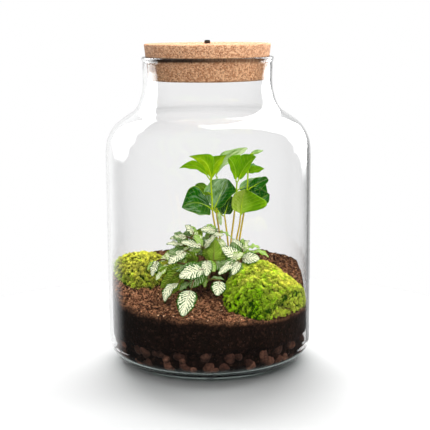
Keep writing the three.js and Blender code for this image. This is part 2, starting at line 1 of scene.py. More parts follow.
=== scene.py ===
"""The looks of a closed glass jar garden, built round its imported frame.

Lengths are millimetres until a mesh is made, which turns them into metres. +Z is up, -Y is
the front, and the jar stands on z = 0 round the Z axis, as in the frame.
"""
import math

import bmesh
import bpy
import numpy as np
from mathutils import Matrix, Vector

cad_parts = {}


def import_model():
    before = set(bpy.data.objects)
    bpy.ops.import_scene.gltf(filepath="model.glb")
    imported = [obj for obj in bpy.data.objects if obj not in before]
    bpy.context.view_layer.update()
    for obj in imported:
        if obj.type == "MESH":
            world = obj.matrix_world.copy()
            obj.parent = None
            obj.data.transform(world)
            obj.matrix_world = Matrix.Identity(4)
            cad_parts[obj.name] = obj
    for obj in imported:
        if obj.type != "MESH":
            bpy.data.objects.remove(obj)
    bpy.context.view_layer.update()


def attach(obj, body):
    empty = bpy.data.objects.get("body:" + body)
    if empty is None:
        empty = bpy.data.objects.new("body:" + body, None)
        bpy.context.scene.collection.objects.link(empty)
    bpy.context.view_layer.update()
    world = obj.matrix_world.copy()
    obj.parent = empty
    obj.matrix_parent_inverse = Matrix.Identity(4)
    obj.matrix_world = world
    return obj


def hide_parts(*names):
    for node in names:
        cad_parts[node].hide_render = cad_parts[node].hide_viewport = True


MM = 0.001

# ------------------------------------------------------------ camera
CAMERA_PLACE = (5.83, -1037.5, 321.6)
CAMERA_DIP = 0.1778  # radians below the horizon
CAMERA_ROLL = 0.0075
LENS = 94.05
SENSOR = 36.0

# ------------------------------------------------------------ jar, lid and fill
JAR_RADIUS = 95.0
JAR_WALL = 2.7
JAR_CORNER = 22.0
JAR_BASE = 5.5
JAR_UNDERSIDE_RECESS = 1.2
SHOULDER_START = 187.0
NECK_RADIUS = 59.5
NECK_BORE = 56.8
RIM_TOP = 283.0
LIP_CENTRE = 58.7
LIP_OUTER = 1.8
LIP_INNER = 1.6
JAR_SEGMENTS = 384
FOOT_RING = [(56, 1.1), (58.5, 0.5), (60, 0.1), (61.5, 0)]
SHOULDER = [
    (94.7, 198), (94.1, 204), (93, 208.6), (91.4, 212.3), (89, 216.9), (86.2, 220.7), (83, 223.7),
    (79.5, 226.3), (75.6, 228.9), (71.4, 231.5), (68, 234.2), (65.2, 237.6), (62.9, 242.2),
    (61.2, 248), (60, 253.5), (NECK_RADIUS, 259),
]
LIP_SWELL = [(59.55, 277.8), (59.8, 278.4), (60.2, 278.9), (60.42, 279.6), (60.5, 280.5)]

CORK_TOP = 294.4
CORK_BOTTOM = 262.0
CORK_TOP_RADIUS = 58.1
CORK_BOTTOM_RADIUS = 54.2
CORK_BEVEL = 0.7
CORK_SEGMENTS = 300
CORK_SEED = 5
STUD_RADIUS = 2.85
STUD_HEIGHT = 3.2
STUD_SEGMENTS = 48

INNER_RADIUS = JAR_RADIUS - JAR_WALL
INNER_CORNER = 12.0
INNER_CORNER_AT = (INNER_RADIUS - INNER_CORNER, JAR_BASE + INNER_CORNER)
FILL_RADIUS = INNER_RADIUS - 0.35
FILL_BOTTOM = JAR_BASE + 0.35

SOIL_FRONT = 57.0
SOIL_SIDE_TILT = -0.05
SOIL_BACK = 84.5
BANK_START = -60.0
BANK_SWEEP = 0.45
BANK_LENGTH = 75.0
BACK_MOUND = 8.0
SOIL_LUMP = 0.7
SOIL_BOTTOM = 32.0
SOIL_SEED = 21
CRUMBS = 3600
CRUMB_SEED = 31
FIBRE_SHARE = 0.3
FULL_TURN = 6.28  # near enough for a random angle

BED_TOP = 31.0
BED_INSET = 4.6
BED_SHOULDER = [(4.6, 21), (4.4, 24), (3.8, 26), (2.9, 28), (2.0, 29.5), (1.6, BED_TOP)]  # inset, height
BED_SEGMENTS = 240
PEBBLE_ROWS = [(14.5, 30, 1.0), (23.5, 24, 1.2)]  # height, count, spread of height
PEBBLE_RADIUS = (5.0, 6.4)
PEBBLE_SWELL = 1.18  # the stones fill the gaps that their solids leave
PEBBLE_GAP = 1.05
SMALL_STONES = 44
SMALL_STONE_RADIUS = (3.6, 5.4)
SMALL_STONE_GAP = 1.3
PEBBLE_DRAW_SEED = 11
STONE_SEED = 8
STONE_NOISE_SEED = 17
STONE_SUBDIVISIONS = 3

# Each cushion sets how much painted light its moss tips get.
MOSS_RIGHT = {"centre": (51, -35), "half": (38, 41), "height": 34, "tufts": 1500, "painted_sun": 0.1, "seed": 41}
MOSS_LEFT = {"centre": (-64, 6), "half": (27.5, 33), "height": 11, "tufts": 560, "painted_sun": 0.6, "seed": 43}
MOSS_FULLNESS = (2.6, 0.55)  # the powers that shape a cushion from its middle to its edge
MOSS_RELIEF = 0.9
MOSS_SUNK = 2.6
MOSS_LEAFLETS = 14
MOSS_RIM_STEP = 0.007  # radians from one tuft against the glass to the next

NET_LINES = 0.2  # green lines to a millimetre along a nerve plant's leaf
FEWEST_NET_LINES = 3.5

FLOOR_RADIUS = 330.0
FLOOR_SEGMENTS = 128
# Painted light under the jar, seen through the glass foot.
PAINTED_FOOT_LIGHT = 0.75
WORLD_SEEN = 1.02
WORLD_FILL = 0.36
WORLD_MIRRORED = 0.03
PANEL_RADIANCE = 5.0
# The sides of the panels in the mirrored studio, in degrees: a rate of azimuth, a rate of height, a start.
LEFT_PANEL = [
    (-1, 0, -100), (0, -1, 45), (-0.654, -0.757, -45.8), (1, 0, 153), (0.658, 0.753, 88),
    (0.872, 0.49, 121.2), (0, 1, 5), (-0.385, 0.923, -36.5), (-0.132, 0.991, -9.4),
]
RIGHT_PANEL = [
    (1, 0, -112), (0.336, 0.942, -36.5), (0, 1, 7.5), (0.707, -0.707, -48.1), (0.261, -0.965, 32.6),
    (-0.196, -0.98, 110.8), (-0.707, 0.707, 105.4),
]


# ------------------------------------------------------------ small helpers
def srgb(red, green, blue):
    """A colour given as 0-255 screen values, as linear values with alpha 1."""
    linear = []
    for value in (red, green, blue):
        share = value / 255
        linear.append(share / 12.92 if share <= 0.04045 else ((share + 0.055) / 1.055) ** 2.4)
    return (*linear, 1.0)


def smoothstep(t):
    x = np.clip(t, 0, 1)
    return x * x * (3 - 2 * x)


def unit(vector):
    return vector / np.linalg.norm(vector)


class ValueNoise:
    """Smooth noise from -1 to 1 in the plane, from a seeded table of random values."""

    def __init__(self, seed, size=128):
        self.size = size
        self.table = np.random.default_rng(seed).uniform(-1, 1, (size, size))

    def __call__(self, x, y, scale):
        px, py = np.asarray(x) / scale + 1000.3, np.asarray(y) / scale + 1000.7
        i, j = np.floor(px).astype(int), np.floor(py).astype(int)
        fx, fy = smoothstep(px - i), smoothstep(py - j)
        low = self.take(i, j) * (1 - fx) + self.take(i + 1, j) * fx
        high = self.take(i, j + 1) * (1 - fx) + self.take(i + 1, j + 1) * fx
        return low * (1 - fy) + high * fy

    def take(self, i, j):
        return self.table[i % self.size, j % self.size]


class Shape:
    """Vertices, faces and per-vertex values of one mesh, gathered piece by piece."""

    def __init__(self):
        self.vertices, self.faces, self.materials = [], [], []
        self.values = {}
        self.count = 0

    def add(self, vertices, faces, material=0, **values):
        """Faces are arrays of 3 or 4 columns. Each value is one row, or a row per vertex."""
        vertices = np.asarray(vertices, float)
        for block in faces if isinstance(faces, list) else [faces]:
            block = np.asarray(block, int) + self.count
            self.faces.append(block)
            self.materials.append(np.full(len(block), material))
        for name, value in values.items():
            rows = np.broadcast_to(np.asarray(value, float), (len(vertices), 4))
            self.values.setdefault(name, []).append(rows)
        self.vertices.append(vertices)
        self.count += len(vertices)

    def make(self, name, materials, smooth=True):
        mesh = bpy.data.meshes.new(name)
        points = np.concatenate(self.vertices) * MM
        mesh.vertices.add(len(points))
        mesh.vertices.foreach_set("co", points.ravel())
        corners = np.concatenate([block.ravel() for block in self.faces])
        sizes = np.concatenate([np.full(len(b), b.shape[1]) for b in self.faces])
        mesh.loops.add(len(corners))
        mesh.loops.foreach_set("vertex_index", corners)
        mesh.polygons.add(len(sizes))
        mesh.polygons.foreach_set("loop_start", np.concatenate([[0], np.cumsum(sizes)[:-1]]))
        mesh.polygons.foreach_set("material_index", np.concatenate(self.materials))
        mesh.polygons.foreach_set("use_smooth", np.full(len(sizes), smooth))
        for key, rows in self.values.items():
            attribute = mesh.attributes.new(key, "FLOAT_COLOR", "POINT")
            attribute.data.foreach_set("color", np.concatenate(rows).ravel())
        mesh.update(calc_edges=True)
        mesh.validate()
        made = bpy.data.objects.new(name, mesh)
        bpy.context.scene.collection.objects.link(made)
        for material in materials:
            mesh.materials.append(material)
        return made

    def piece(self, name, materials, node, smooth=True):
        """A mesh that stands for a node of the frame, where everything is one body."""
        made = self.make(name, materials, smooth)
        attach(made, "root")
        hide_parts(node)


def turns(count):
    """Evenly spaced angles of one full turn, in radians."""
    return 2 * np.pi * np.arange(count) / count


def grid_faces(rows, columns, wrap=False):
    """Quads of a grid of points in rows, closed round each row if wrap is set."""
    across = columns if wrap else columns - 1
    i, j = np.meshgrid(np.arange(rows - 1), np.arange(across), indexing="ij")
    i, j = i.ravel() * columns, j.ravel()
    after = (j + 1) % columns
    return np.stack([i + j, i + after, i + columns + after, i + columns + j], 1)


def fan_faces(centre, ring, flip=False):
    faces = np.stack([np.full(len(ring), centre), ring, np.roll(ring, -1)], 1)
    return faces[:, ::-1] if flip else faces


def closed_faces(rows, segments):
    """Faces of a body of closed rings. A middle point for each end follows the rings' own points."""
    count = rows * segments
    return [
        grid_faces(rows, segments, wrap=True),
        fan_faces(count, np.arange(segments), flip=True),
        fan_faces(count + 1, np.arange(count - segments, count)),
    ]


def lathe(shape, profile, segments, **values):
    """A closed body of revolution. The profile runs from the axis to the axis, up the outside."""
    inner = np.array(profile[1:-1], float)
    angle = turns(segments)
    ring = np.stack([np.cos(angle), np.sin(angle)], 1)
    flat = (inner[:, None, :1] * ring[None]).reshape(-1, 2)
    body = np.column_stack([flat, np.repeat(inner[:, 1], segments)])
    ends = np.array([[0, 0, profile[0][1]], [0, 0, profile[-1][1]]], float)
    shape.add(np.concatenate([body, ends]), closed_faces(len(inner), segments), **values)


def arc(centre, radius, start, end, steps):
    angles = np.radians(np.linspace(start, end, steps + 1))
    return [(centre[0] + radius * math.cos(a), centre[1] + radius * math.sin(a)) for a in angles]


def between(p1, p2, m1, m2, t):
    """A point of the curve from p1 to p2 that starts along m1 and ends along m2."""
    square, cube = t * t, t * t * t
    return (
        (2 * cube - 3 * square + 1) * p1 + (cube - 2 * square + t) * m1
        + (3 * square - 2 * cube) * p2 + (cube - square) * m2
    )


def curve_points(knots, steps):
    """Points along a centripetal Catmull-Rom curve through the knots, steps to each span."""
    knots = [np.asarray(k, float) for k in knots]
    ends = [2 * knots[0] - knots[1], *knots, 2 * knots[-1] - knots[-2]]
    points = []
    for i in range(1, len(ends) - 2):
        p0, p1, p2, p3 = ends[i - 1 : i + 3]
        spans = ((p0, p1), (p1, p2), (p2, p3))
        d0, d1, d2 = (max(np.linalg.norm(b - a), 1e-6) ** 0.5 for a, b in spans)
        m1 = d1 * ((p1 - p0) / d0 - (p2 - p0) / (d0 + d1) + (p2 - p1) / d1)
        m2 = d1 * ((p2 - p1) / d1 - (p3 - p1) / (d1 + d2) + (p3 - p2) / d2)
        points += [between(p1, p2, m1, m2, t) for t in np.arange(steps) / steps]
    return np.array([*points, knots[-1]])


def smooth_through(values, u):
    """A smooth curve through evenly spaced values, read at u from 0 to 1."""
    place = np.clip(u, 0, 1) * (len(values) - 1)
    low = np.minimum(place.astype(int), len(values) - 2)
    padded = np.array([2 * values[0] - values[1], *values, 2 * values[-1] - values[-2]], float)
    p0, p1, p2, p3 = (padded[low + k] for k in range(4))
    return between(p1, p2, (p2 - p0) / 2, (p3 - p1) / 2, place - low)


def tube(shape, points, radii, sides, material, **values):
    """A closed tube along points, with a radius for each."""
    points = np.asarray(points, float)
    headings = np.gradient(points, axis=0)
    headings /= np.linalg.norm(headings, axis=1)[:, None]
    across = unit(np.cross(headings[0], (0.31, 0.95, 0.05)))
    angle = turns(sides)
    rings = []
    for point, heading, radius in zip(points, headings, radii):
        across = unit(across - heading * across.dot(heading))
        ring = np.outer(np.cos(angle), across) + np.outer(np.sin(angle), np.cross(heading, across))
        rings.append(point + radius * ring)
    vertices = np.concatenate([*rings, points[:1], points[-1:]])
    shape.add(vertices, closed_faces(len(points), sides), material, **values)


# ------------------------------------------------------------ material helpers
class Number:
    """A number that shader nodes work out, which takes +, -, * and abs()."""

    def __init__(self, tree, socket):
        self.tree = tree
        self.socket = socket

    def __add__(self, other):
        return self.tree.maths("ADD", self, other)

    def __sub__(self, other):
        return self.tree.maths("SUBTRACT", self, other)

    def __rsub__(self, other):
        return self.tree.maths("SUBTRACT", other, self)

    def __mul__(self, other):
        return self.tree.maths("MULTIPLY", self, other)

    def __abs__(self):
        return self.tree.maths("ABSOLUTE", self)


class Tree:
    """Short ways to add shader nodes to one new material."""

    def __init__(self, name):
        self.material = bpy.data.materials.new(name)
        self.material.use_nodes = True
        self.tree = self.material.node_tree
        self.tree.nodes.clear()

    @classmethod
    def within(cls, tree):
        """The same helpers on a node tree that exists, such as the world's."""
        made = cls.__new__(cls)
        made.tree = tree
        tree.nodes.clear()
        return made

    def node(self, kind, inputs=None, **properties):
        made = self.tree.nodes.new("ShaderNode" + kind)
        for key, value in properties.items():
            setattr(made, key, value)
        for key, value in (inputs or {}).items():
            if isinstance(value, Number):
                value = value.socket
            if isinstance(value, bpy.types.NodeSocket):
                self.tree.links.new(value, made.inputs[key])
            else:
                made.inputs[key].default_value = value
        return made

    def get(self, kind, inputs=None, output=0, **properties):
        """One output of a new node."""
        return self.node(kind, inputs, **properties).outputs[output]

    def number(self, *node, **properties):
        """The same, to reckon with."""
        return Number(self, self.get(*node, **properties))

    def maths(self, operation, *inputs):
        return self.number("Math", dict(enumerate(inputs)), operation=operation)

    def span(self, value, low, high, start=0.0, end=1.0):
        """A smooth change from start to end, while the value runs from low to high."""
        inputs = {"Value": value, "From Min": low, "From Max": high, "To Min": start, "To Max": end}
        return self.number("MapRange", inputs, "Result", interpolation_type="SMOOTHSTEP")

    def mix(self, factor, first, second, blend="MIX"):
        inputs = {0: factor, 6: first, 7: second}
        return self.get("Mix", inputs, 2, data_type="RGBA", blend_type=blend, clamp_factor=True)

    def times(self, colour, by):
        return self.mix(1.0, colour, by, "MULTIPLY")

    def vector(self, *parts):
        return self.get("CombineXYZ", dict(enumerate(parts)))

    def value(self, name):
        """The colour of a per-vertex value, and its fourth number."""
        read = self.node("Attribute", attribute_name=name)
        return read.outputs["Color"], Number(self, read.outputs["Alpha"])

    def parts(self, colour):
        """The three numbers of a colour."""
        return [Number(self, part) for part in self.node("SeparateColor", {"Color": colour}).outputs]

    def place(self, scale=(1, 1, 1)):
        """Where the surface is, in millimetres of the part."""
        inputs = {"Vector": self.get("TexCoord", output="Object"), "Scale": tuple(s / MM for s in scale)}
        return self.get("Mapping", inputs)

    def noise(self, vector, scale, detail=4.0, roughness=0.55):
        inputs = {"Vector": vector, "Scale": scale, "Detail": detail, "Roughness": roughness}
        return self.number("TexNoise", inputs, "Fac")

    def cells(self, vector, scale):
        """Random cells: how far off their middles are, and the numbers of a colour for each."""
        made = self.node("TexVoronoi", {"Vector": vector, "Scale": scale, "Randomness": 1.0})
        return Number(self, made.outputs["Distance"]), self.parts(made.outputs["Color"])

    def bump(self, height, strength, distance_mm):
        inputs = {"Height": height, "Strength": strength, "Distance": distance_mm * MM}
        return self.get("Bump", inputs, "Normal")

    def finish(self, shader, volume=None):
        output = self.node("OutputMaterial", {"Surface": shader})
        if volume:
            self.tree.links.new(volume, output.inputs["Volume"])
        return self.material

    def surface(self, **inputs):
        named = {key.replace("_", " "): value for key, value in inputs.items()}
        return self.finish(self.get("BsdfPrincipled", named))


# ------------------------------------------------------------ materials
def glass_material():
    """Clear glass, faintly green along a long way through it."""
    t = Tree("clear_glass")
    glass = t.get("BsdfGlass", {"Color": (1.0, 0.996, 0.998, 1), "Roughness": 0.0, "IOR": 1.5})
    clear = t.get("BsdfTransparent", {"Color": (1, 1, 1, 1)})
    shadow = t.get("LightPath", output="Is Shadow Ray")
    surface = t.get("MixShader", {0: shadow, 1: glass, 2: clear})
    volume = t.get("VolumeAbsorption", {"Color": (0.4, 0.85, 0.7, 1), "Density": 6.0})
    return t.finish(surface, volume)


def cork_material():
    """Pressed cork: light and dark grains, dark pits, painted shade under the rim and painted light below it.
    """
    t = Tree("pressed_cork")
    place = t.place()
    warp = t.get("TexNoise", {"Vector": place, "Scale": 0.5, "Detail": 2.0}, "Color")
    bent = t.get("VectorMath", {0: place, 1: warp}, operation="ADD")
    middle, tone = t.cells(bent, 0.8)
    edge = t.get("TexVoronoi", {"Vector": bent, "Scale": 0.8}, "Distance", feature="DISTANCE_TO_EDGE")
    seam = t.span(edge, 0.0, 0.1, 1.0, 0.0)
    fine = t.noise(place, 1.3, 5.0, 0.7)
    base = t.mix(t.span(tone[0], 0.25, 0.75), srgb(214, 168, 130), srgb(170, 118, 82))
    base = t.mix(t.span(fine, 0.5, 0.75, 0.0, 0.6), base, srgb(236, 206, 174))
    base = t.mix(seam * 0.4, base, srgb(118, 70, 42))
    pits = t.span(middle, 0.24, 0.4, 1.0, 0.0) * t.span(tone[1], 0.46, 0.52)
    base = t.mix(pits * 0.9, base, srgb(64, 32, 18))
    sideways, _, height = t.node("SeparateXYZ", {0: place}).outputs
    # Painted light: the cork inside the neck, seen through the glass, is made up to 1.2 times brighter.
    bright = t.span(height, 274.0, 280.0, 1.2, 1.0)
    base = t.get("VectorMath", {0: base, "Scale": bright}, operation="SCALE")
    flat = t.get("VectorMath", {0: place, 1: (1, 1, 0)}, operation="MULTIPLY")
    reach = t.get("VectorMath", {0: flat}, "Value", operation="LENGTH")
    # Painted shade: a near-black band where the glass rim covers the cork, weaker to the right.
    rim_band_painted_shade = t.span(height, 279.2, 280.2) * t.span(height, 282.6, 283.6, 1.0, 0.0)
    rim_band_painted_shade = rim_band_painted_shade * t.span(reach, 53.0, 54.0) * t.span(sideways, -20.0, 35.0, 0.95, 0.6)
    base = t.mix(rim_band_painted_shade, base, srgb(20, 13, 10))
    normal = t.bump(fine * 0.5 - (seam + pits), 0.5, 0.35)
    return t.surface(Base_Color=base, Roughness=0.7, Specular_IOR_Level=0.5, Normal=normal)


def stud_material():
    t = Tree("black_gloss")
    rough = t.span(t.noise(t.place(), 3.0), 0.3, 0.7, 0.12, 0.24)
    return t.surface(Base_Color=srgb(13, 13, 15), Roughness=rough, Coat_Weight=0.4)


def soil_material():
    """Potting mix. The tint value gives its colour, near black with painted shade against the glass, and its
    alpha falls to 0 in that painted shade.
    """
    t = Tree("potting_mix")
    place = t.place()
    tint, out_of_painted_shade = t.value("tint")
    middle, tone = t.cells(place, 0.6)
    fine = t.noise(place, 0.9, 6.0, 0.7)
    base = t.times(tint, t.span(fine, 0.36, 0.66, 0.1, 2.0))
    # Painted shade also darkens the chips.
    chip = t.mix(out_of_painted_shade, srgb(60, 40, 30), t.times(tint, (1.5, 1.5, 1.5, 1)))
    base = t.mix(t.span(tone[0], 0.74, 0.84) * t.span(out_of_painted_shade, 0.0, 1.0, 0.5, 0.9), base, chip)
    base = t.mix(t.span(tone[1], 0.58, 0.66) * 0.75, base, srgb(24, 13, 9))
    normal = t.bump(middle + fine, 0.8, 0.6)
    return t.surface(Base_Color=base, Roughness=0.9, Specular_IOR_Level=0.2, Normal=normal)


def clay_material():
    t = Tree("fired_clay")
    place = t.place()
    tint, _ = t.value("tint")
    fine = t.noise(place, 0.5, 6.0, 0.65)
    base = t.mix(t.span(fine, 0.3, 0.7, 0.35, 1.0), srgb(30, 18, 14), tint)
    middle, _ = t.cells(place, 1.0)
    pits = t.span(middle, 0.1, 0.3, 1.0, 0.0)
    base = t.mix(pits * 0.5, base, srgb(20, 12, 10))
    normal = t.bump(fine - pits, 0.6, 0.5)
    return t.surface(Base_Color=base, Roughness=0.86, Specular_IOR_Level=0.3, Normal=normal)


def moss_material():
    t = Tree("cushion_moss")
    tint, _ = t.value("tint")
    fine = t.noise(t.place(), 0.6, 3.0)
    return t.surface(
        Base_Color=t.times(tint, t.span(fine, 0.3, 0.7, 0.8, 1.2)), Roughness=0.7, Specular_IOR_Level=0.05,
        Subsurface_Weight=0.1, Subsurface_Radius=(0.6, 1.0, 0.2), Subsurface_Scale=0.8 * MM,
    )


def leaf_numbers(t):
    """What leaf() writes, and how far from the midrib a point is, from 0 to 1."""
    colour, length = t.value("leaf")
    along, across, seed = t.parts(colour)
    side = abs(across * 2.0 - 1.0)
    return along, across, side, seed, length


def coffee_material():
    """Ribbed green leaves. The tint's alpha is gloss, which also sets painted sheen streaks."""
    t = Tree("coffee_leaf")
    along, across, side, seed, length = leaf_numbers(t)
    upper = t.maths("GREATER_THAN", length, 0.0)
    tint, gloss = t.value("tint")
    slant = along - side * 0.24
    off_vein = abs(t.maths("FRACT", slant * 8.0 + 100.0) - 0.5)
    vein = t.span(off_vein, 0.0, 0.11, 1.0, 0.0) * t.span(side, 0.82, 0.98, 1.0, 0.0)
    midrib = t.span(side, 0.02, 0.09, 1.0, 0.0) * (upper * 0.5 + 0.25) * (1.0 - gloss * 0.7)
    ribs = t.maths("MAXIMUM", vein * 0.45, midrib)
    cloud = t.noise(t.vector(seed * 40.0, along, side), 3.2, 5.0, 0.6)
    deeper = t.mix(t.span(gloss, 0.0, 0.2), (0.66, 0.76, 0.4, 1), (0.36, 0.5, 0.22, 1))
    base = t.mix(t.span(cloud, 0.38, 0.6), t.times(tint, deeper), tint)
    pale = t.mix(0.4, t.times(tint, (1.6, 1.45, 1.6, 1)), srgb(196, 216, 90))
    base = t.mix(ribs * 0.7, base, pale)
    base = t.mix(t.span(side, 0.9, 1.0) * 0.5, base, srgb(168, 208, 60))
    # Painted sheen: pale streaks, as strong as the gloss, stand in for the lamps' reflections.
    streaks = t.noise(t.vector(seed * 90.0, slant * 2.0, across * 9.0), 1.6, 3.0, 0.5)
    base = t.mix(t.span(streaks, 0.52, 0.64) * (gloss * 0.66), base, srgb(186, 208, 180))
    return t.surface(
        Base_Color=base, Roughness=0.5 - gloss * 0.25, Specular_IOR_Level=0.1,
        Coat_Weight=gloss * 0.4, Coat_Roughness=0.2, Subsurface_Weight=0.12,
        Subsurface_Radius=(0.5, 1.0, 0.15), Subsurface_Scale=0.9 * MM,
        Normal=t.bump(cloud * 0.5 - ribs * 1.2, 0.5, 0.5),
    )


def nerve_material():
    """White nets on green. The tint's alpha is how white the net is."""
    t = Tree("nerve_leaf")
    along, across, side, seed, length = leaf_numbers(t)
    upper = t.maths("GREATER_THAN", length, 0.0)
    tint, white = t.value("tint")
    lines = abs(length) * NET_LINES + FEWEST_NET_LINES
    drift = t.noise(t.vector(along * 7.0, across * 5.0, seed * 60.0), 1.0, 3.0, 0.6)
    slant = along - side * 0.3 + drift * 0.2
    half = t.maths("SIGN", across - 0.5) * 0.25 + 50.0
    off = abs(t.maths("FRACT", slant * lines + half) - 0.5)
    spot = t.noise(t.vector(slant * (lines * 3.0), across * 14.0, seed * 60.0), 1.0, 2.0, 0.6)
    wide = side * 0.09 + (spot * 0.6 - 0.155)
    midrib = t.span(side, 0.02, 0.09, 1.0, 0.0)
    pale = t.maths("MAXIMUM", t.span(off, 0.2, 0.42), midrib)
    green = t.span(off - wide, -0.015, 0.03, 1.0, 0.0) * t.span(side, 0.04, 0.16)
    margin = t.span(spot * 0.3 + side, 0.96, 1.02)
    tip = t.span(along, 0.94, 0.98)
    plain = (1.0 - white) * (1.0 - pale * 0.42)
    for other in (margin, tip, plain):
        green = t.maths("MAXIMUM", green, other)
    two_greens = t.mix(t.span(spot, 0.4, 0.6), (1.3, 1.25, 1.1, 1), (0.65, 0.75, 0.5, 1))
    above = t.mix(green, srgb(255, 255, 220), t.times(tint, two_greens))
    below = t.mix(pale * 0.8, srgb(70, 114, 4), srgb(190, 212, 84))
    return t.surface(
        Base_Color=t.mix(upper, below, above), Roughness=0.55, Specular_IOR_Level=0.12,
        Normal=t.bump(off - midrib, 0.4, 0.5),
    )


def stem_material():
    t = Tree("green_stem")
    tint, _ = t.value("tint")
    streaks = t.noise(t.place((1.2, 1.2, 0.25)), 1.5, 4.0)
    base = t.times(tint, t.span(streaks, 0.3, 0.7, 0.7, 1.2))
    return t.surface(Base_Color=base, Roughness=0.5, Normal=t.bump(streaks, 0.3, 0.2))


def floor_material():
    """White table. The glass mirrors little of it, and under the jar it glows with painted light that shows
    through the foot.
    """
    t = Tree("pale_floor")
    place = t.place()
    base = t.mix(t.noise(place, 0.02, 2.0), (0.7, 0.7, 0.7, 1), (0.71, 0.71, 0.71, 1))
    table = t.get("BsdfDiffuse", {"Color": base, "Normal": t.vector(-0.52, 0.58, 0.62)})
    reach = t.get("VectorMath", {0: place}, "Value", operation="LENGTH")
    under = t.span(reach, 90.0, 104.0, 1.0, 0.0)
    # Painted light: under the jar the table glows pale green for rays that come through the glass.
    painted_foot_light = t.get("Emission", {"Color": (0.86, 1.0, 0.95, 1), "Strength": PAINTED_FOOT_LIGHT})
    ray = t.node("LightPath").outputs
    lit = t.get("MixShader", {0: under * ray["Is Transmission Ray"], 1: table, 2: painted_foot_light})
    away = (1.0 - under) * t.maths("COMPARE", ray["Glossy Depth"], 1.0, 0.5)
    return t.finish(t.get("MixShader", {0: away, 1: lit, 2: t.get("BsdfTransparent")}))


# ------------------------------------------------------------ jar and lid
def glass_jar():
    """The jar in one piece: its hollowed foot, its wall and shoulder, its lip, and back down inside."""
    outer_corner = (JAR_RADIUS - JAR_CORNER, JAR_CORNER)
    knots = [(JAR_RADIUS, SHOULDER_START - 6), (JAR_RADIUS, SHOULDER_START), *SHOULDER, (NECK_RADIUS, 265)]
    outer = curve_points([(r, z, 0) for r, z in knots], steps=3)[:, :2]
    slopes = np.gradient(outer, axis=0)
    normals = np.stack([slopes[:, 1], -slopes[:, 0]], 1)
    normals /= np.linalg.norm(normals, axis=1)[:, None]
    inside = outer - JAR_WALL * normals
    inside[:, 0] = np.maximum(inside[:, 0], NECK_BORE)
    profile = [
        (0, JAR_UNDERSIDE_RECESS), (20, JAR_UNDERSIDE_RECESS), (52, JAR_UNDERSIDE_RECESS), *FOOT_RING,
        *arc(outer_corner, JAR_CORNER, -90, 0, 20),
        *[tuple(p) for p in outer],
        (NECK_RADIUS, 272), (NECK_RADIUS, 277), *LIP_SWELL,
        *arc((LIP_CENTRE, RIM_TOP - LIP_OUTER), LIP_OUTER, 0, 90, 8),
        *arc((LIP_CENTRE, RIM_TOP - LIP_INNER), LIP_INNER, 100, 170, 5),
        (NECK_BORE, 280), (NECK_BORE, 268),
        *[tuple(p) for p in inside[::-1]],
        *arc(INNER_CORNER_AT, INNER_CORNER, 0, -90, 18),
        (40, JAR_BASE), (0, JAR_BASE),
    ]
    shape = Shape()
    lathe(shape, profile, JAR_SEGMENTS)
    shape.piece("glass_jar_blown", [glass_material()], "jar")


def cork_lid():
    """The stopper, with the small pits and crumbled edges of pressed cork."""
    rise = np.linspace(0, 1, 30)
    side = np.stack([
        CORK_BOTTOM_RADIUS + (CORK_TOP_RADIUS - CORK_BOTTOM_RADIUS) * rise,
        CORK_BOTTOM + (CORK_TOP - CORK_BOTTOM) * rise,
    ], 1)
    side[0] += (-CORK_BEVEL, 0.0)
    side[-1] += (-CORK_BEVEL, 0.0)
    side[1] = (CORK_BOTTOM_RADIUS + 0.05, CORK_BOTTOM + CORK_BEVEL)
    side[-2] = (CORK_TOP_RADIUS - 0.05, CORK_TOP - CORK_BEVEL)
    inward = np.linspace(1, 0, 24)[1:-1]
    top = [(float(s) * (CORK_TOP_RADIUS - 0.8), CORK_TOP) for s in inward]
    bottom = [(float(s) * (CORK_BOTTOM_RADIUS - 0.8), CORK_BOTTOM) for s in inward[::-1]]
    profile = [(0, CORK_BOTTOM), *bottom, *[tuple(p) for p in side], *top, (0, CORK_TOP)]
    shape = Shape()
    lathe(shape, profile, CORK_SEGMENTS)
    body = shape.vertices[0]
    noise = ValueNoise(CORK_SEED)
    around = np.arctan2(body[:, 1], body[:, 0]) * 55
    reach = np.hypot(body[:, 0], body[:, 1])
    on_side = reach > CORK_BOTTOM_RADIUS - 0.5
    across = np.where(on_side, around, body[:, 0])
    down = np.where(on_side, body[:, 2], body[:, 1])
    pits = np.clip(noise(across, down, 1.6) - 0.45, 0, 1) * 0.9 + 0.1 * noise(across, down, 3.1)
    outward = np.where(on_side[:, None], body * (1, 1, 0) / np.maximum(reach, 1)[:, None], (0, 0, 1))
    outward[body[:, 2] < CORK_BOTTOM + 0.2] = (0, 0, -1)
    body -= outward * np.clip(pits, 0, 0.6)[:, None]
    shape.piece("cork_stopper", [cork_material()], "cork_lid")


def lid_stud():
    foot = CORK_TOP + 0.05
    top = CORK_TOP + STUD_HEIGHT
    profile = [
        (0, foot), (STUD_RADIUS - 0.3, foot), (STUD_RADIUS, foot + 0.3), (STUD_RADIUS, top - 0.9),
        *arc((STUD_RADIUS - 0.8, top - 0.8), 0.8, 10, 80, 5), (STUD_RADIUS - 1.2, top),
        (STUD_RADIUS - 1.5, top - 0.25), (0, top - 0.3),
    ]
    shape = Shape()
    lathe(shape, profile, STUD_SEGMENTS)
    shape.piece("gloss_stud", [stud_material()], "lid_stud")


# ------------------------------------------------------------ soil, stones and moss
def soil_height(x, y):
    front = SOIL_FRONT + SOIL_SIDE_TILT * x
    foot = BANK_START + BANK_SWEEP * np.maximum(0, x)
    bank = smoothstep((y - foot) / BANK_LENGTH)
    lumps = np.sin(0.19 * x + 0.7) * np.cos(0.23 * y - 0.4) + np.sin(0.11 * x - 0.16 * y)
    return front + (SOIL_BACK - front) * bank + SOIL_LUMP * lumps


SOIL_NOISE = ValueNoise(SOIL_SEED)


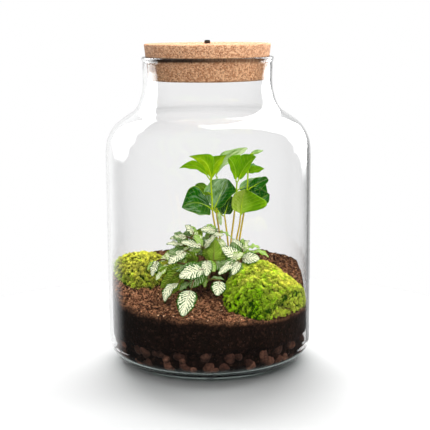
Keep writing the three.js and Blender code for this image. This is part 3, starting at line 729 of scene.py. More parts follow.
def crumbly_height(x, y):
    """The soil's top with its crumbs, a little lower where it meets the glass."""
    crumbs = 1.4 * SOIL_NOISE(x, y, 7.0) + 1.1 * SOIL_NOISE(x, y, 3.1) + 0.8 * SOIL_NOISE(x, y, 1.5)
    edge = smoothstep((np.hypot(x, y) - 80) / 12)
    smooth = soil_height(x, y)
    back_right = smoothstep((x - 55) / 25) * smoothstep((y + 5) / 30)
    return smooth + crumbs * (1 - 0.4 * edge) + back_right * np.clip(SOIL_BACK - smooth, 0, BACK_MOUND)


def painted_shade_and_back_darkening(x, y):
    """The share of its colour that the soil keeps: painted shade under the plants, deepest at their middle,
    and darker towards the back.
    """
    clear_of_plant_shade = 0.2 + 0.8 * smoothstep((np.hypot((x + 8) / 42, (y + 8) / 30) - 0.7) / 0.4)
    return clear_of_plant_shade * (1 - 0.52 * smoothstep((y - 5) / 25))


def soil_bank(material):
    rings, segments, wall_rows = 84, 300, 26
    angle = turns(segments)
    radius = (FILL_RADIUS - 0.5) * np.sqrt(np.linspace(0.0002, 1, rings))
    x = radius[:, None] * np.cos(angle)
    y = radius[:, None] * np.sin(angle)
    z = crumbly_height(x, y)
    top = np.stack([x, y, z], 2)
    edge = z[-1]
    drop = np.linspace(0, 1, wall_rows + 1)[1:, None]
    ragged = SOIL_BOTTOM - 2.5 + 2.5 * SOIL_NOISE(angle * FILL_RADIUS, 0 * angle, 9.0)
    wall_z = edge + (ragged - edge) * drop
    around = np.broadcast_to(angle * FILL_RADIUS, wall_z.shape)
    relief = 0.30 * SOIL_NOISE(around, wall_z, 2.2) + 0.22 * SOIL_NOISE(around, wall_z, 5.1)
    wall_r = FILL_RADIUS - 0.45 + relief
    wall = np.stack([wall_r * np.cos(angle), wall_r * np.sin(angle), wall_z], 2)
    ends = np.array([[0, 0, z[0].mean()], [0, 0, SOIL_BOTTOM - 1.5]])
    points = np.concatenate([np.concatenate([top, wall]).reshape(-1, 3), ends])
    # Painted shade: the top darkens towards the glass, and the side that the glass shows is darker still,
    # near black below its top edge.
    lit = np.array(srgb(156, 108, 78))
    pressed = np.array(srgb(17, 9, 5)) * (1, 1, 1, 0)
    shaded = 0.55 * smoothstep((np.hypot(x, y) - 83) / 8) + 0 * z
    share = np.concatenate([shaded, 0.55 + 0.45 * np.broadcast_to(smoothstep(drop * 6), wall_z.shape)])
    share = np.append(share.ravel(), [0, 1])[:, None]
    patches = 1 + 0.3 * SOIL_NOISE(points[:, 0], points[:, 1], 11.0)
    tone_and_painted_shade = (patches * painted_shade_and_back_darkening(points[:, 0], points[:, 1]))[:, None] * (1, 1, 1, 0) + (0, 0, 0, 1)
    shape = Shape()
    tint = (lit * (1 - share) + pressed * share) * tone_and_painted_shade
    shape.add(points, closed_faces(rings + wall_rows, segments), tint=tint)
    shape.piece("soil_bank", [material], "soil")


CHIP_COLOURS = [
    srgb(128, 84, 60), srgb(176, 120, 86), srgb(80, 50, 37), srgb(212, 154, 112), srgb(42, 26, 19),
    srgb(244, 198, 156),
]
CHIP_SHARES = [0.26, 0.24, 0.18, 0.16, 0.1, 0.06]
BOX_CORNERS = np.array([[x, y, z] for z in (-1, 1) for y in (-1, 1) for x in (-1, 1)], float)
BOX_FACES = np.array([[0, 2, 3, 1], [4, 5, 7, 6], [0, 1, 5, 4], [2, 6, 7, 3], [0, 4, 6, 2], [1, 3, 7, 5]])


def soil_crumbs(material):
    """Loose chips of bark and fibres that lie on the soil."""
    shape = Shape()
    rng = np.random.default_rng(CRUMB_SEED)
    for _ in range(CRUMBS):
        r = (FILL_RADIUS - 2.5) * math.sqrt(rng.uniform())
        turn = rng.uniform(0, 2 * math.pi)
        x, y = r * math.cos(turn), r * math.sin(turn)
        fibre = rng.uniform() < FIBRE_SHARE
        strand = np.array([rng.uniform(1.6, 4.2), 0.24, 0.2])
        half = strand if fibre else rng.uniform([0.5, 0.35, 0.2], [1.7, 1.1, 0.6])
        jitter = rng.uniform(0.65, 1.1, (8, 3))
        turned = Matrix.Rotation(rng.uniform(0, FULL_TURN), 3, "Z")
        spin = turned @ Matrix.Rotation(rng.normal(0, 0.45), 3, "Y")
        box = (BOX_CORNERS * jitter * half) @ np.array(spin).T
        centre = np.array([x, y, float(crumbly_height(x, y)) + half[2] * 0.6])
        colour = np.array(CHIP_COLOURS[rng.choice(len(CHIP_COLOURS), p=CHIP_SHARES)])
        # The same painted shade darkens the chips under the plants.
        shape.add(box + centre, BOX_FACES, tint=colour * (*[float(painted_shade_and_back_darkening(x, y))] * 3, 1))
    shape.piece("soil_crumbs", [material], "soil", smooth=False)


class StoneDraw:
    """The same seeded draw as the solids use for the stones' places."""

    def __init__(self, seed):
        self.state = seed

    def __call__(self):
        self.state = (self.state + 0x6D2B79F5) & 0xFFFFFFFF
        t = self.state
        t = ((t ^ (t >> 15)) * (t | 1)) & 0xFFFFFFFF
        t ^= (t + (((t ^ (t >> 7)) * (t | 61)) & 0xFFFFFFFF)) & 0xFFFFFFFF
        return ((t ^ (t >> 14)) & 0xFFFFFFFF) / 4294967296


def ball(level):
    """Vertices and triangles of a unit ball."""
    form = bmesh.new()
    bmesh.ops.create_icosphere(form, subdivisions=level, radius=1)
    points = np.array([v.co for v in form.verts])
    faces = np.array([[v.index for v in f.verts] for f in form.faces])
    form.free()
    return points, faces


CLAY_COLOURS = [srgb(134, 92, 74), srgb(110, 74, 60), srgb(148, 104, 84), srgb(94, 66, 54)]


def against_wall(radius, gap, angle, z):
    """The centre of a ball in the fill, a gap away from the inside of the jar."""
    flat, level = INNER_CORNER_AT
    rise = max(0, level - z)
    out = flat + math.sqrt(max((INNER_CORNER - radius - gap) ** 2 - rise**2, 0))
    return np.array([out * math.cos(angle), out * math.sin(angle), z])


def clay_stones(material):
    draw = StoneDraw(PEBBLE_DRAW_SEED)
    rng = np.random.default_rng(STONE_SEED)
    points, faces = ball(STONE_SUBDIVISIONS)
    shape = Shape()
    noise = ValueNoise(STONE_NOISE_SEED)

    def stone(centre, radius, flatten):
        axis = Matrix.Rotation(rng.uniform(0, FULL_TURN), 3, Vector(unit(rng.normal(size=3))))
        stretch = rng.uniform(0.82, 1.06, 3)
        shift = rng.uniform(0, 90)
        coarse = noise(points[:, 0] * 9 + shift, points[:, 1] * 9 + points[:, 2] * 5, 6.0)
        rough = noise(points[:, 0] * 9 + shift, points[:, 2] * 9 - points[:, 1] * 4, 2.2)
        lumps = 1 + 0.14 * coarse + 0.05 * rough - 0.04
        form = (points * lumps[:, None] * stretch) @ np.array(axis).T * (1, 1, flatten)
        dusty = np.clip(0.62 + 0.38 * rough + 0.35 * coarse, 0.15, 1)[:, None] * rng.uniform(0.45, 1.0)
        # Painted shade: each stone darkens where it faces away from the glass, towards its neighbours.
        outward = unit(centre * (1, 1, 0))
        clear_of_painted_shade = smoothstep((form @ outward / np.linalg.norm(form, axis=1) - 0.15) / 0.6)[:, None]
        colour = np.array(CLAY_COLOURS[rng.integers(4)]) * dusty * (0.15 + 0.85 * clear_of_painted_shade)
        shape.add(form * radius + centre, faces, tint=colour)

    smallest, largest = PEBBLE_RADIUS
    for height, count, spread in PEBBLE_ROWS:
        for i in range(count):
            radius = PEBBLE_SWELL * (smallest + (largest - smallest) * draw())
            z = height + spread * (2 * draw() - 1)
            angle = 2 * math.pi * (i + 0.5 * draw()) / count + height
            flatten = 0.82 + 0.15 * draw()
            for _ in ("x", "y"):
                draw()  # the solids turn the stone by it about this axis
            stone(against_wall(radius, PEBBLE_GAP, angle, z), radius, flatten)
    for _ in range(SMALL_STONES):
        radius, angle = rng.uniform(*SMALL_STONE_RADIUS), rng.uniform(0, 2 * math.pi)
        z = rng.uniform(FILL_BOTTOM + radius + 1, BED_TOP - 2)
        stone(against_wall(radius, SMALL_STONE_GAP, angle, z), radius, 0.9)
    shape.piece("clay_stones", [material], "clay_pebbles")


def settled_bed(material):
    """Soil that has run down between the stones."""
    flat = INNER_CORNER_AT[0]
    profile = [
        (0, FILL_BOTTOM), (30, FILL_BOTTOM), (60, FILL_BOTTOM), (flat, FILL_BOTTOM),
        *arc(INNER_CORNER_AT, INNER_CORNER - BED_INSET, -74, 0, 16),
        *[(flat + INNER_CORNER - inset, z) for inset, z in BED_SHOULDER], (0, BED_TOP),
    ]
    shape = Shape()
    # Painted shade: the soil between the stones is a near-black copy of the soil colour, with the alpha of
    # painted shade.
    lathe(shape, profile, BED_SEGMENTS, tint=(*srgb(14, 8, 5)[:3], 0))
    body = shape.vertices[0]
    reach = np.hypot(body[:, 0], body[:, 1])
    around = np.arctan2(body[:, 1], body[:, 0]) * 90
    bumps = 0.8 * SOIL_NOISE(around, body[:, 2], 2.4) + 0.6 * SOIL_NOISE(around, body[:, 2], 1.2)
    outer = reach > flat + 1
    body[outer, :2] *= (1 + bumps[outer] / reach[outer])[:, None]
    shape.piece("settled_bed", [material], "clay_pebbles")


def moss_height(moss, x, y, rho):
    power, root = MOSS_FULLNESS
    swell = moss["height"] * np.maximum(1 - rho**power, 0) ** root
    tufts = np.sin(0.62 * x + 1.3 * np.sin(0.31 * y)) * np.sin(0.58 * y + 0.9)
    return soil_height(x, y) + swell + MOSS_RELIEF * tufts * np.minimum(1, swell / 5)


def moss_edge(moss, angle):
    """The share of the cushion's half-width at which it meets the glass, at most 1."""
    (cx, cy), (hx, hy) = moss["centre"], moss["half"]
    limit = FILL_RADIUS - 0.5
    dx, dy = hx * np.cos(angle), hy * np.sin(angle)
    a, b, c = dx * dx + dy * dy, 2 * (cx * dx + cy * dy), cx * cx + cy * cy - limit * limit
    return np.minimum(1, (-b + np.sqrt(b * b - 4 * a * c)) / (2 * a))


MOSS_DARK = np.array(srgb(32, 62, 2))
MOSS_MID = np.array(srgb(178, 232, 6))
MOSS_TIP = np.array(srgb(255, 252, 112))


def moss_cushion(name, moss, node, material):
    """A dark core and thousands of small bright stars of leaflets, which stand out of it."""
    shape = Shape()
    rng = np.random.default_rng(moss["seed"])
    rings, segments = 30, 110
    (cx, cy), (hx, hy) = moss["centre"], moss["half"]

    def place(rho, angle):
        x, y = cx + rho * hx * np.cos(angle), cy + rho * hy * np.sin(angle)
        return np.stack([x, y, moss_height(moss, x, y, rho)], -1)

    angle = turns(segments)
    rho = moss_edge(moss, angle)[None] * (np.linspace(0.02, 1, rings) ** 0.8)[:, None]
    body = place(rho, np.broadcast_to(angle, rho.shape)).reshape(-1, 3)
    body[:, 2] -= MOSS_SUNK
    skirt = body[-segments:] * (1, 1, 0) + (0, 0, 1) * (body[-segments:, 2:] - 5)
    centre = place(np.zeros(1), np.zeros(1)) - (0, 0, MOSS_SUNK)
    points = np.concatenate([body, skirt, centre, [[cx, cy, skirt[:, 2].min()]]])
    shape.add(points, closed_faces(rings + 1, segments), tint=MOSS_DARK)

    def tuft(foot, normal, painted_sunlight):
        lean = unit(normal + 0.25 * np.array([0, 0, 1]) + rng.normal(0, 0.14, 3))
        across = unit(np.cross(lean, rng.normal(size=3)))
        other = np.cross(lean, across)
        tip_colour = (MOSS_MID * (1 - painted_sunlight) + MOSS_TIP * painted_sunlight) * rng.uniform(0.5, 1.6)
        tints = np.array([MOSS_DARK, tip_colour * 0.62, tip_colour, tip_colour * 0.62])
        tints[:, 3] = 1
        tall = rng.uniform(2.6, 4.0)
        spin = rng.uniform(0, FULL_TURN)
        for k in range(MOSS_LEAFLETS):
            a = spin + 2 * math.pi * k / MOSS_LEAFLETS * 2 + rng.normal(0, 0.2)
            out = math.cos(a) * across + math.sin(a) * other
            upright = k / MOSS_LEAFLETS
            width = np.cross(lean, out) * rng.uniform(0.3, 0.46)
            spread = rng.uniform(2.1, 3.1) * (1 - 0.75 * upright)
            start = foot + lean * tall * 0.1
            middle = foot + lean * tall * (0.55 + 0.2 * upright) + out * spread * 0.5
            tip = foot + lean * tall * (0.75 + 0.35 * upright) + out * spread
            leaflet = np.array([start, middle - width, tip, middle + width])
            reach = np.hypot(leaflet[:, 0], leaflet[:, 1])
            leaflet[:, :2] *= np.minimum(1, (FILL_RADIUS - 0.1) / reach)[:, None]
            shape.add(leaflet, np.array([[0, 1, 2], [0, 2, 3]]), tint=tints)

    noise = ValueNoise(moss["seed"] + 1)

    # Painted light: tips turn from green to pale where the cushion faces up and to the right, towards the
    # lamps, plus each cushion's own amount and random patches.
    def painted_sun(foot, normal):
        patch = float(noise(foot[0], foot[1], 9.0)) * 0.25 + rng.normal(0, 0.16)
        lit = 0.45 * smoothstep((normal[2] - 0.1) / 0.9) + 1.2 * max(0, normal[0])
        return np.clip(moss["painted_sun"] + lit + patch, 0, 1)

    def over_the_top():
        golden = math.pi * (3 - math.sqrt(5))
        for k in range(moss["tufts"]):
            turn = k * golden + rng.normal(0, 0.05)
            rho = float(moss_edge(moss, turn)) * min(1, ((k + rng.uniform()) / moss["tufts"]) ** 0.42)
            foot = place(np.float64(rho), turn)
            east, north = (place(np.float64(rho) + a, turn + b) - foot for a, b in ((0.01, 0), (0, 0.01)))
            normal = unit(np.cross(east, north) + 1e-9)
            if normal[2] < 0:
                normal = -normal
            tuft(foot - MOSS_SUNK * normal, normal, painted_sun(foot, normal))

    def round_the_side():
        power, root = MOSS_FULLNESS
        for _ in range(moss["tufts"] // 4):
            turn, low = rng.uniform(0, 2 * math.pi), rng.uniform(0, 0.6)
            rho = min(float(moss_edge(moss, turn)), (1 - low ** (1 / root)) ** (1 / power))
            foot = place(np.float64(rho), turn)
            outward = unit(np.array([math.cos(turn) / hx, math.sin(turn) / hy, 0]))
            normal = unit(outward + (0, 0, 0.4 + low))
            # Painted shade: tufts round the side get less of that painted light.
            tuft(foot - 0.8 * MOSS_SUNK * outward, normal, 0.7 * painted_sun(foot, normal))

    def against_the_glass():
        for turn in np.arange(0, 2 * math.pi, MOSS_RIM_STEP):
            edge = float(moss_edge(moss, turn))
            if edge > 0.995:
                continue
            rim = place(np.float64(edge), turn)
            low = float(soil_height(rim[0], rim[1])) + 1
            if rim[2] - low < 2:
                continue
            outward = unit(rim * (1, 1, 0))
            foot = np.array([rim[0], rim[1], rng.uniform(low, rim[2])]) - 2.0 * outward
            tuft(foot, unit(outward + (0, 0, 0.5)), rng.uniform(0.35, 0.9))

    over_the_top()
    round_the_side()
    against_the_glass()
    shape.piece(name, [material], node, smooth=False)


# ------------------------------------------------------------ leaves
BLADE_START = 0.04
STALK_AIM = 0.15
BLADE_THICKNESS = 0.42
STALK_RADIUS = {"pointed": 0.62, "round": 0.62, "oval": 0.5}
STEM_SIDES = 8

OUTLINES = {
    "pointed": lambda u: np.sin(np.pi * u**0.95) ** 0.75 * (1 - 0.35 * u**4),
    "round": lambda u: np.sin(np.pi * (0.06 + 0.9 * u**0.8)) ** 0.55,
    "oval": lambda u: np.sin(np.pi * u**0.85) ** 0.7,
}
BLADES = {
    "pointed": {"along": 44, "across": 8, "wave": 0.9, "waves": 2.5, "teeth": 0, "tooth": 0.0, "veins": 8},
    "round": {"along": 44, "across": 8, "wave": 1.1, "waves": 2, "teeth": 0, "tooth": 0.0, "veins": 8},
    "oval": {"along": 60, "across": 7, "wave": 0.9, "waves": 2.6, "teeth": 13, "tooth": 0.1, "veins": 9},
}


def blade(stem_point, base, tip, face, size, arch=1, **more):
    """One leaf of a plant's table.

    It grows from a numbered point of the stem's rise, and the upper side looks towards face. The
    size is a width, or the half-widths of the two sides, evenly from base to tip. The blade bows
    up by arch, and by sweep across. More can be tint, kind, fold, wave, sweep, and points that the
    stalk goes via.
    """
    return {"from": stem_point, "base": base, "tip": tip, "face": face, "size": size, "arch": arch, **more}


def leaf_frame(entry):
    """The way a blade faces, the way its second side lies, and its midrib as a function."""
    base, tip = np.array(entry["base"], float), np.array(entry["tip"], float)
    chord = tip - base
    along = unit(chord)
    normal = np.array(entry["face"], float)
    normal = unit(normal - along * normal.dot(along))
    side = np.cross(along, normal)

    def midrib(u):
        bow = 4 * u * (1 - u)
        bend = entry["arch"] * normal + entry.get("sweep", 0) * side
        return base + np.multiply.outer(u, chord) + np.multiply.outer(bow, bend)

    return normal, side, midrib


def leaf_tint(tint, ss):
    """One colour for both faces of a blade, or a row per point from the colours of its two halves, one of
    which may be a painted sheen.
    """
    if not isinstance(tint, list):
        return np.array(tint)
    first, second = (np.array(colour) for colour in tint)
    share = smoothstep(0.5 + 0.9 * ss.ravel())[:, None]
    rows = first * (1 - share) + second * share
    return np.concatenate([rows, rows])


def leaf(shape, entry, kind, stem_point, stem_colour, seed):
    """One blade with its own thickness, and its stalk, which runs on as the midrib below it.

    Its "leaf" value holds the share along it, the share across it, a number of its own, and its
    length, which is negative on the lower face.
    """
    normal, side, midrib = leaf_frame(entry)
    form, width = BLADES[kind], entry["size"]
    rng = np.random.default_rng(seed)
    u = BLADE_START + (1 - BLADE_START) * np.linspace(0, 1, form["along"] + 1)
    s = np.linspace(-1, 1, 2 * form["across"] + 1)
    uu, ss = np.meshgrid(u, s, indexing="ij")
    if isinstance(width, tuple):
        ends = [smooth_through(half, u) for half in width]
        width = 2 * max(max(half) for half in width)
    else:
        teeth = 1 + form["tooth"] * (2 * np.abs((u * form["teeth"]) % 1 - 0.5) - 0.5) * 2
        ends = [width / 2 * np.nan_to_num(OUTLINES[kind](np.minimum(u, 0.9999))) * teeth] * 2
    start = 0.12 + 0.88 * smoothstep((u - BLADE_START) / 0.07)
    left, right = (np.maximum(end * start, 0.18)[:, None] for end in ends)
    reach = ss * np.where(ss < 0, left, right)
    share = (left + right) / width
    rolling = np.sin(2 * np.pi * form["waves"] * uu + 2 * ss + seed)
    ripple = entry.get("wave", form["wave"]) * rolling * ss * ss
    fold = entry.get("fold", 0) * np.abs(ss) * width / 2
    slant = uu - 0.24 * np.abs(ss)
    quilt = 0.022 * width * np.cos(2 * np.pi * form["veins"] * slant) * np.abs(ss) * (1 - ss**4)
    groove = -0.25 * np.exp(-((ss / 0.12) ** 2))
    lift = share * (fold + ripple + quilt + groove)
    centre = midrib(u)[:, None, :] + side * reach[..., None]
    thin = BLADE_THICKNESS * (1 - 0.7 * np.abs(ss) ** 3)
    layers = [centre + normal * (lift + sign * thin / 2)[..., None] for sign in (1, -1)]
    rows, columns = uu.shape
    count = rows * columns
    upper = grid_faces(rows, columns)
    lower = upper[:, ::-1] + count
    rim = np.concatenate([
        np.arange(columns), np.arange(1, rows) * columns + columns - 1,
        (rows - 1) * columns + np.arange(columns - 2, -1, -1), np.arange(rows - 2, 0, -1) * columns,
    ])
    after = np.roll(rim, -1)
    edge = np.stack([rim, rim + count, after + count, after], 1)
    tag = rng.uniform()
    length = np.linalg.norm(np.subtract(entry["tip"], entry["base"]))
    values = np.stack([uu.ravel(), ss.ravel() / 2 + 0.5, np.full(count, tag), np.full(count, length)], 1)
    values = np.concatenate([values, values * (1, 1, 1, -1)])
    points = np.concatenate([layer.reshape(-1, 3) for layer in layers])
    faces = [upper[:, ::-1], lower[:, ::-1], edge[:, ::-1]]
    shape.add(points, faces, leaf=values, tint=leaf_tint(entry["tint"], ss))

    knots = [stem_point, *entry.get("via", []), entry["base"], midrib(np.array([STALK_AIM]))[0]]
    stalk = curve_points(knots, steps=5)
    rib = midrib(np.linspace(STALK_AIM, 0.86, 9))[1:] - 0.28 * normal
    stalk[-1] -= 0.1 * normal
    path = np.concatenate([stalk, rib])
    radii = np.concatenate([np.full(len(stalk), STALK_RADIUS[kind]), np.linspace(0.45, 0.12, len(rib))])
    tube(shape, path, radii, STEM_SIDES, 1, tint=stem_colour, leaf=(0, 0, 0, 1))


# ------------------------------------------------------------ plants
def glossy(red, green, blue, last):
    """A leaf's colour. Its last number is gloss and painted sheen on coffee, and how white the net is on a
    nerve plant.
    """
    return (*srgb(red, green, blue)[:3], last)


LIME = glossy(112, 160, 1, 0.0)
LIME_DEEP = glossy(104, 156, 1, 0.0)
LIME_LIGHT = glossy(156, 192, 8, 0.0)
PALE = glossy(166, 196, 124, 0.4)
PALE_LIGHT = glossy(206, 224, 172, 0.4)
OLIVE = glossy(84, 122, 8, 0.1)
DEEP = glossy(20, 86, 1, 0.22)
DARK = glossy(10, 64, 1, 0.22)
# Painted sheen: a pale blue-green that stands in for the lamps' reflection on a glossy half.
PAINTED_SHEEN = glossy(140, 172, 124, 0.9)
# Partly painted sheen: a greyer green for the half of a leaf that shows its sheen.
GREY_GREEN_PAINTED_REFLECTION = glossy(50, 102, 24, 0.36)
# Painted sheen: the colour of a small leaf that stands for a blue-grey patch of reflection.
BLUE_GREY_PAINTED_REFLECTION = glossy(104, 152, 88, 0.4)
SPRING = glossy(112, 160, 1, 0.0)
SPRING_PALE = glossy(186, 206, 92, 0.0)
WHITE_NET = glossy(36, 94, 2, 1.0)
GREEN_NET = glossy(130, 176, 8, 0.08)
DEEP_NET = glossy(62, 110, 2, 0.0)
MIXED_NET = glossy(138, 178, 24, 0.9)

SHADE_SIDES = ((-1, 3.5), (1, 5.5))  # which way a shade leaf is turned, and how far back it stands
SHADE_SIZE = 0.85
LOWEST_SHADED = 70.0

STEM_DEPTH = 9.0
STEM_RADIUS = 0.9
# A stem's two colours, and the height where the first turns into the second.
COFFEE_STEM = {"low": np.array(srgb(208, 180, 58)), "high": np.array(srgb(172, 202, 4)), "change": 132}
NERVE_STEM = {"low": np.array(srgb(84, 48, 38)), "high": np.array(srgb(104, 84, 44)), "change": 88}
NERVE_SEED = 20

# Each plant has the place of its foot, the points that its stem rises through, and its leaves.
COFFEE = {
    "coffee_1": {
        "foot": (11, 11), "rise": [(7, 10, 115), (3.4, 9, 138), (3, 9, 152), (2, 9, 167)],
        "leaves": [
            blade(1, (3, 8, 139), (-25, -6, 144), (0.25, -0.75, 0.6),
                  ([1, 12, 14.5, 14.5, 11, 0.8], [1, 8, 12.2, 15.5, 12.3, 0.5]), 2, kind="round", fold=0.3,
                  sweep=5, wave=1.6, tint=[GREY_GREEN_PAINTED_REFLECTION, DEEP]),
            blade(2, (2, 14, 152), (-11, 28, 161), (0.5, -0.8, 0.3), 14, kind="round", tint=OLIVE),
            blade(3, (1, 8, 168), (-27, -2, 180), (0.1, -0.75, 0.7),
                  ([0.6, 2.4, 4.4, 4.8, 3.2, 0.2], [0.6, 3, 5.2, 5, 3.4, 0.2]), 2, fold=0.15, sweep=7.5,
                  tint=LIME),
            blade(3, (2, 10, 168), (-18, 14, 189), (0.5, -0.8, -0.1),
                  ([0.6, 3.4, 5, 4.6, 2.8, 0.3], [0.6, 5, 9.5, 9.5, 5.5, 0.3]), -1, fold=-0.15, sweep=7.5,
                  tint=[LIME_LIGHT, LIME]),
            blade(3, (3, 12, 167), (17, 23, 189), (-0.4, -0.85, 0.1),
                  ([0.6, 3.5, 7.5, 11.5, 7.5, 0.3], [0.6, 3.2, 5, 5.2, 3.2, 0.3]), -1, fold=-0.15,
                  sweep=-5.5, tint=[LIME, LIME_LIGHT]),
        ],
    },
    "coffee_2": {
        "foot": (10, 18), "rise": [(10.4, 17, 110), (7.4, 15, 135), (8, 20, 155), (8, 23, 168)],
        "leaves": [
            blade(1, (5, 12, 139), (18, 14, 167), (0.08, -0.95, 0.25),
                  ([3, 12, 16, 14.5, 12.5, 2], [2, 7.2, 8.4, 10.4, 12, 2]), -3, kind="round", fold=-0.1,
                  wave=1.5, tint=[PAINTED_SHEEN, DEEP]),
            blade(1, (9, 13, 137), (11.5, 5, 124.5), (-0.3, -0.9, 0.2),
                  ([0.4, 1.6, 2, 2, 1.6, 0.3], [0.4, 1.6, 2, 2, 1.6, 0.3]), 0, kind="round", wave=0.2,
                  tint=PALE_LIGHT),
            blade(3, (7, 25, 169), (37, 38, 195), (-0.3, -0.9, 0.3),
                  ([0.6, 3.2, 8, 6.6, 4.2, 0.5], [0.6, 1.8, 4.4, 5.4, 5.2, 1.5]), 2, sweep=-4, wave=1.7,
                  tint=[PALE, PALE_LIGHT]),
        ],
    },
    "coffee_3": {
        "foot": (19, 10), "rise": [(18, 12, 106), (16, 16, 124), (15, 18, 131)],
        "leaves": [
            blade(2, (15, 19, 132), (21, 26, 149), (0, -1, 0.1), 13, 0, kind="round", tint=DARK),
            blade(2, (13, 21, 131), (-4, 36, 139), (-0.2, 0.3, 0.9), 17, 2, kind="round", tint=DEEP),
        ],
    },
    "coffee_4": {
        "foot": (20, 18), "rise": [(21, 18, 106), (24, 19, 130), (26, 19, 150), (27, 17, 164)],
        "leaves": [
            blade(2, (28, 25, 155), (54, 44, 164), (-0.1, -0.95, 0.3),
                  ([0.6, 4.5, 5, 4, 2.4, 0.3], [0.6, 9, 14, 17, 15, 0.5]), 2, kind="round", fold=0.1,
                  wave=1.5, tint=[PAINTED_SHEEN, DEEP]),
            blade(3, (26, 14, 165), (19, 6, 188), (0.6, -0.8, 0.1),
                  ([0.6, 2.8, 3.8, 4, 3, 0.6], [0.6, 5, 9, 12, 12.5, 5]), -1, fold=-0.15, sweep=3.8,
                  tint=[LIME, LIME_DEEP]),
            blade(3, (28, 16, 165), (45, 15, 188), (-0.35, -0.93, 0.1),
                  ([0.6, 4.5, 9, 11, 10, 4], [0.6, 3.4, 4.4, 3.4, 1.8, 0.2]), -1, fold=-0.15, sweep=-2.8,
                  tint=[LIME_DEEP, LIME]),
        ],
    },
    "coffee_5": {
        "foot": (25, 11), "rise": [(26, 10, 108), (29, 9, 124), (30, 8, 133)],
        "leaves": [
            blade(2, (30, 7, 134), (34, -5, 160), (-0.1, 0.75, 0.5),
                  ([5, 23, 24.5, 17, 9, 1], [5.5, 8.6, 9.2, 8.8, 7.2, 1]), 3, kind="round", fold=0.2,
                  wave=0.5, tint=[SPRING, SPRING_PALE]),
            blade(2, (32, 12, 135), (58, 24, 151), (-0.1, -0.85, 0.5),
                  ([0.6, 7, 12, 15, 14, 1], [0.6, 2, 4, 6.5, 7, 1]), 2, kind="round", fold=0.1, wave=1.4,
                  tint=[DARK, DEEP]),
        ],
    },
    "coffee_6": {
        "foot": (28, 18), "rise": [(29, 18, 106), (33, 21, 130), (36, 23, 148), (37, 22, 158), (38, 25, 183)],
        "leaves": [
            blade(2, (39, 25, 156), (57, 32, 165), (-0.4, -0.9, 0.3), 12, kind="round", tint=DEEP),
            blade(4, (37, 26, 171), (53, 20, 176), (0.1, -0.8, 0.6),
                  ([0.6, 4.6, 5.6, 4.4, 3, 0.3], [0.6, 1.6, 2.8, 3, 2.4, 0.3]), fold=0.1, tint=LIME),
            blade(4, (38, 26, 175.5), (47, 34, 177), (0, -0.9, 0.4), 7, tint=BLUE_GREY_PAINTED_REFLECTION),
            blade(4, (40, 26, 189), (53, 36, 191.5), (-0.3, -0.9, 0.3),
                  ([0.5, 2, 2.8, 2.4, 1.4, 0.2], [0.5, 1.6, 2.2, 1.8, 1.2, 0.2]), wave=0.3, tint=PALE),
        ],
    },
}

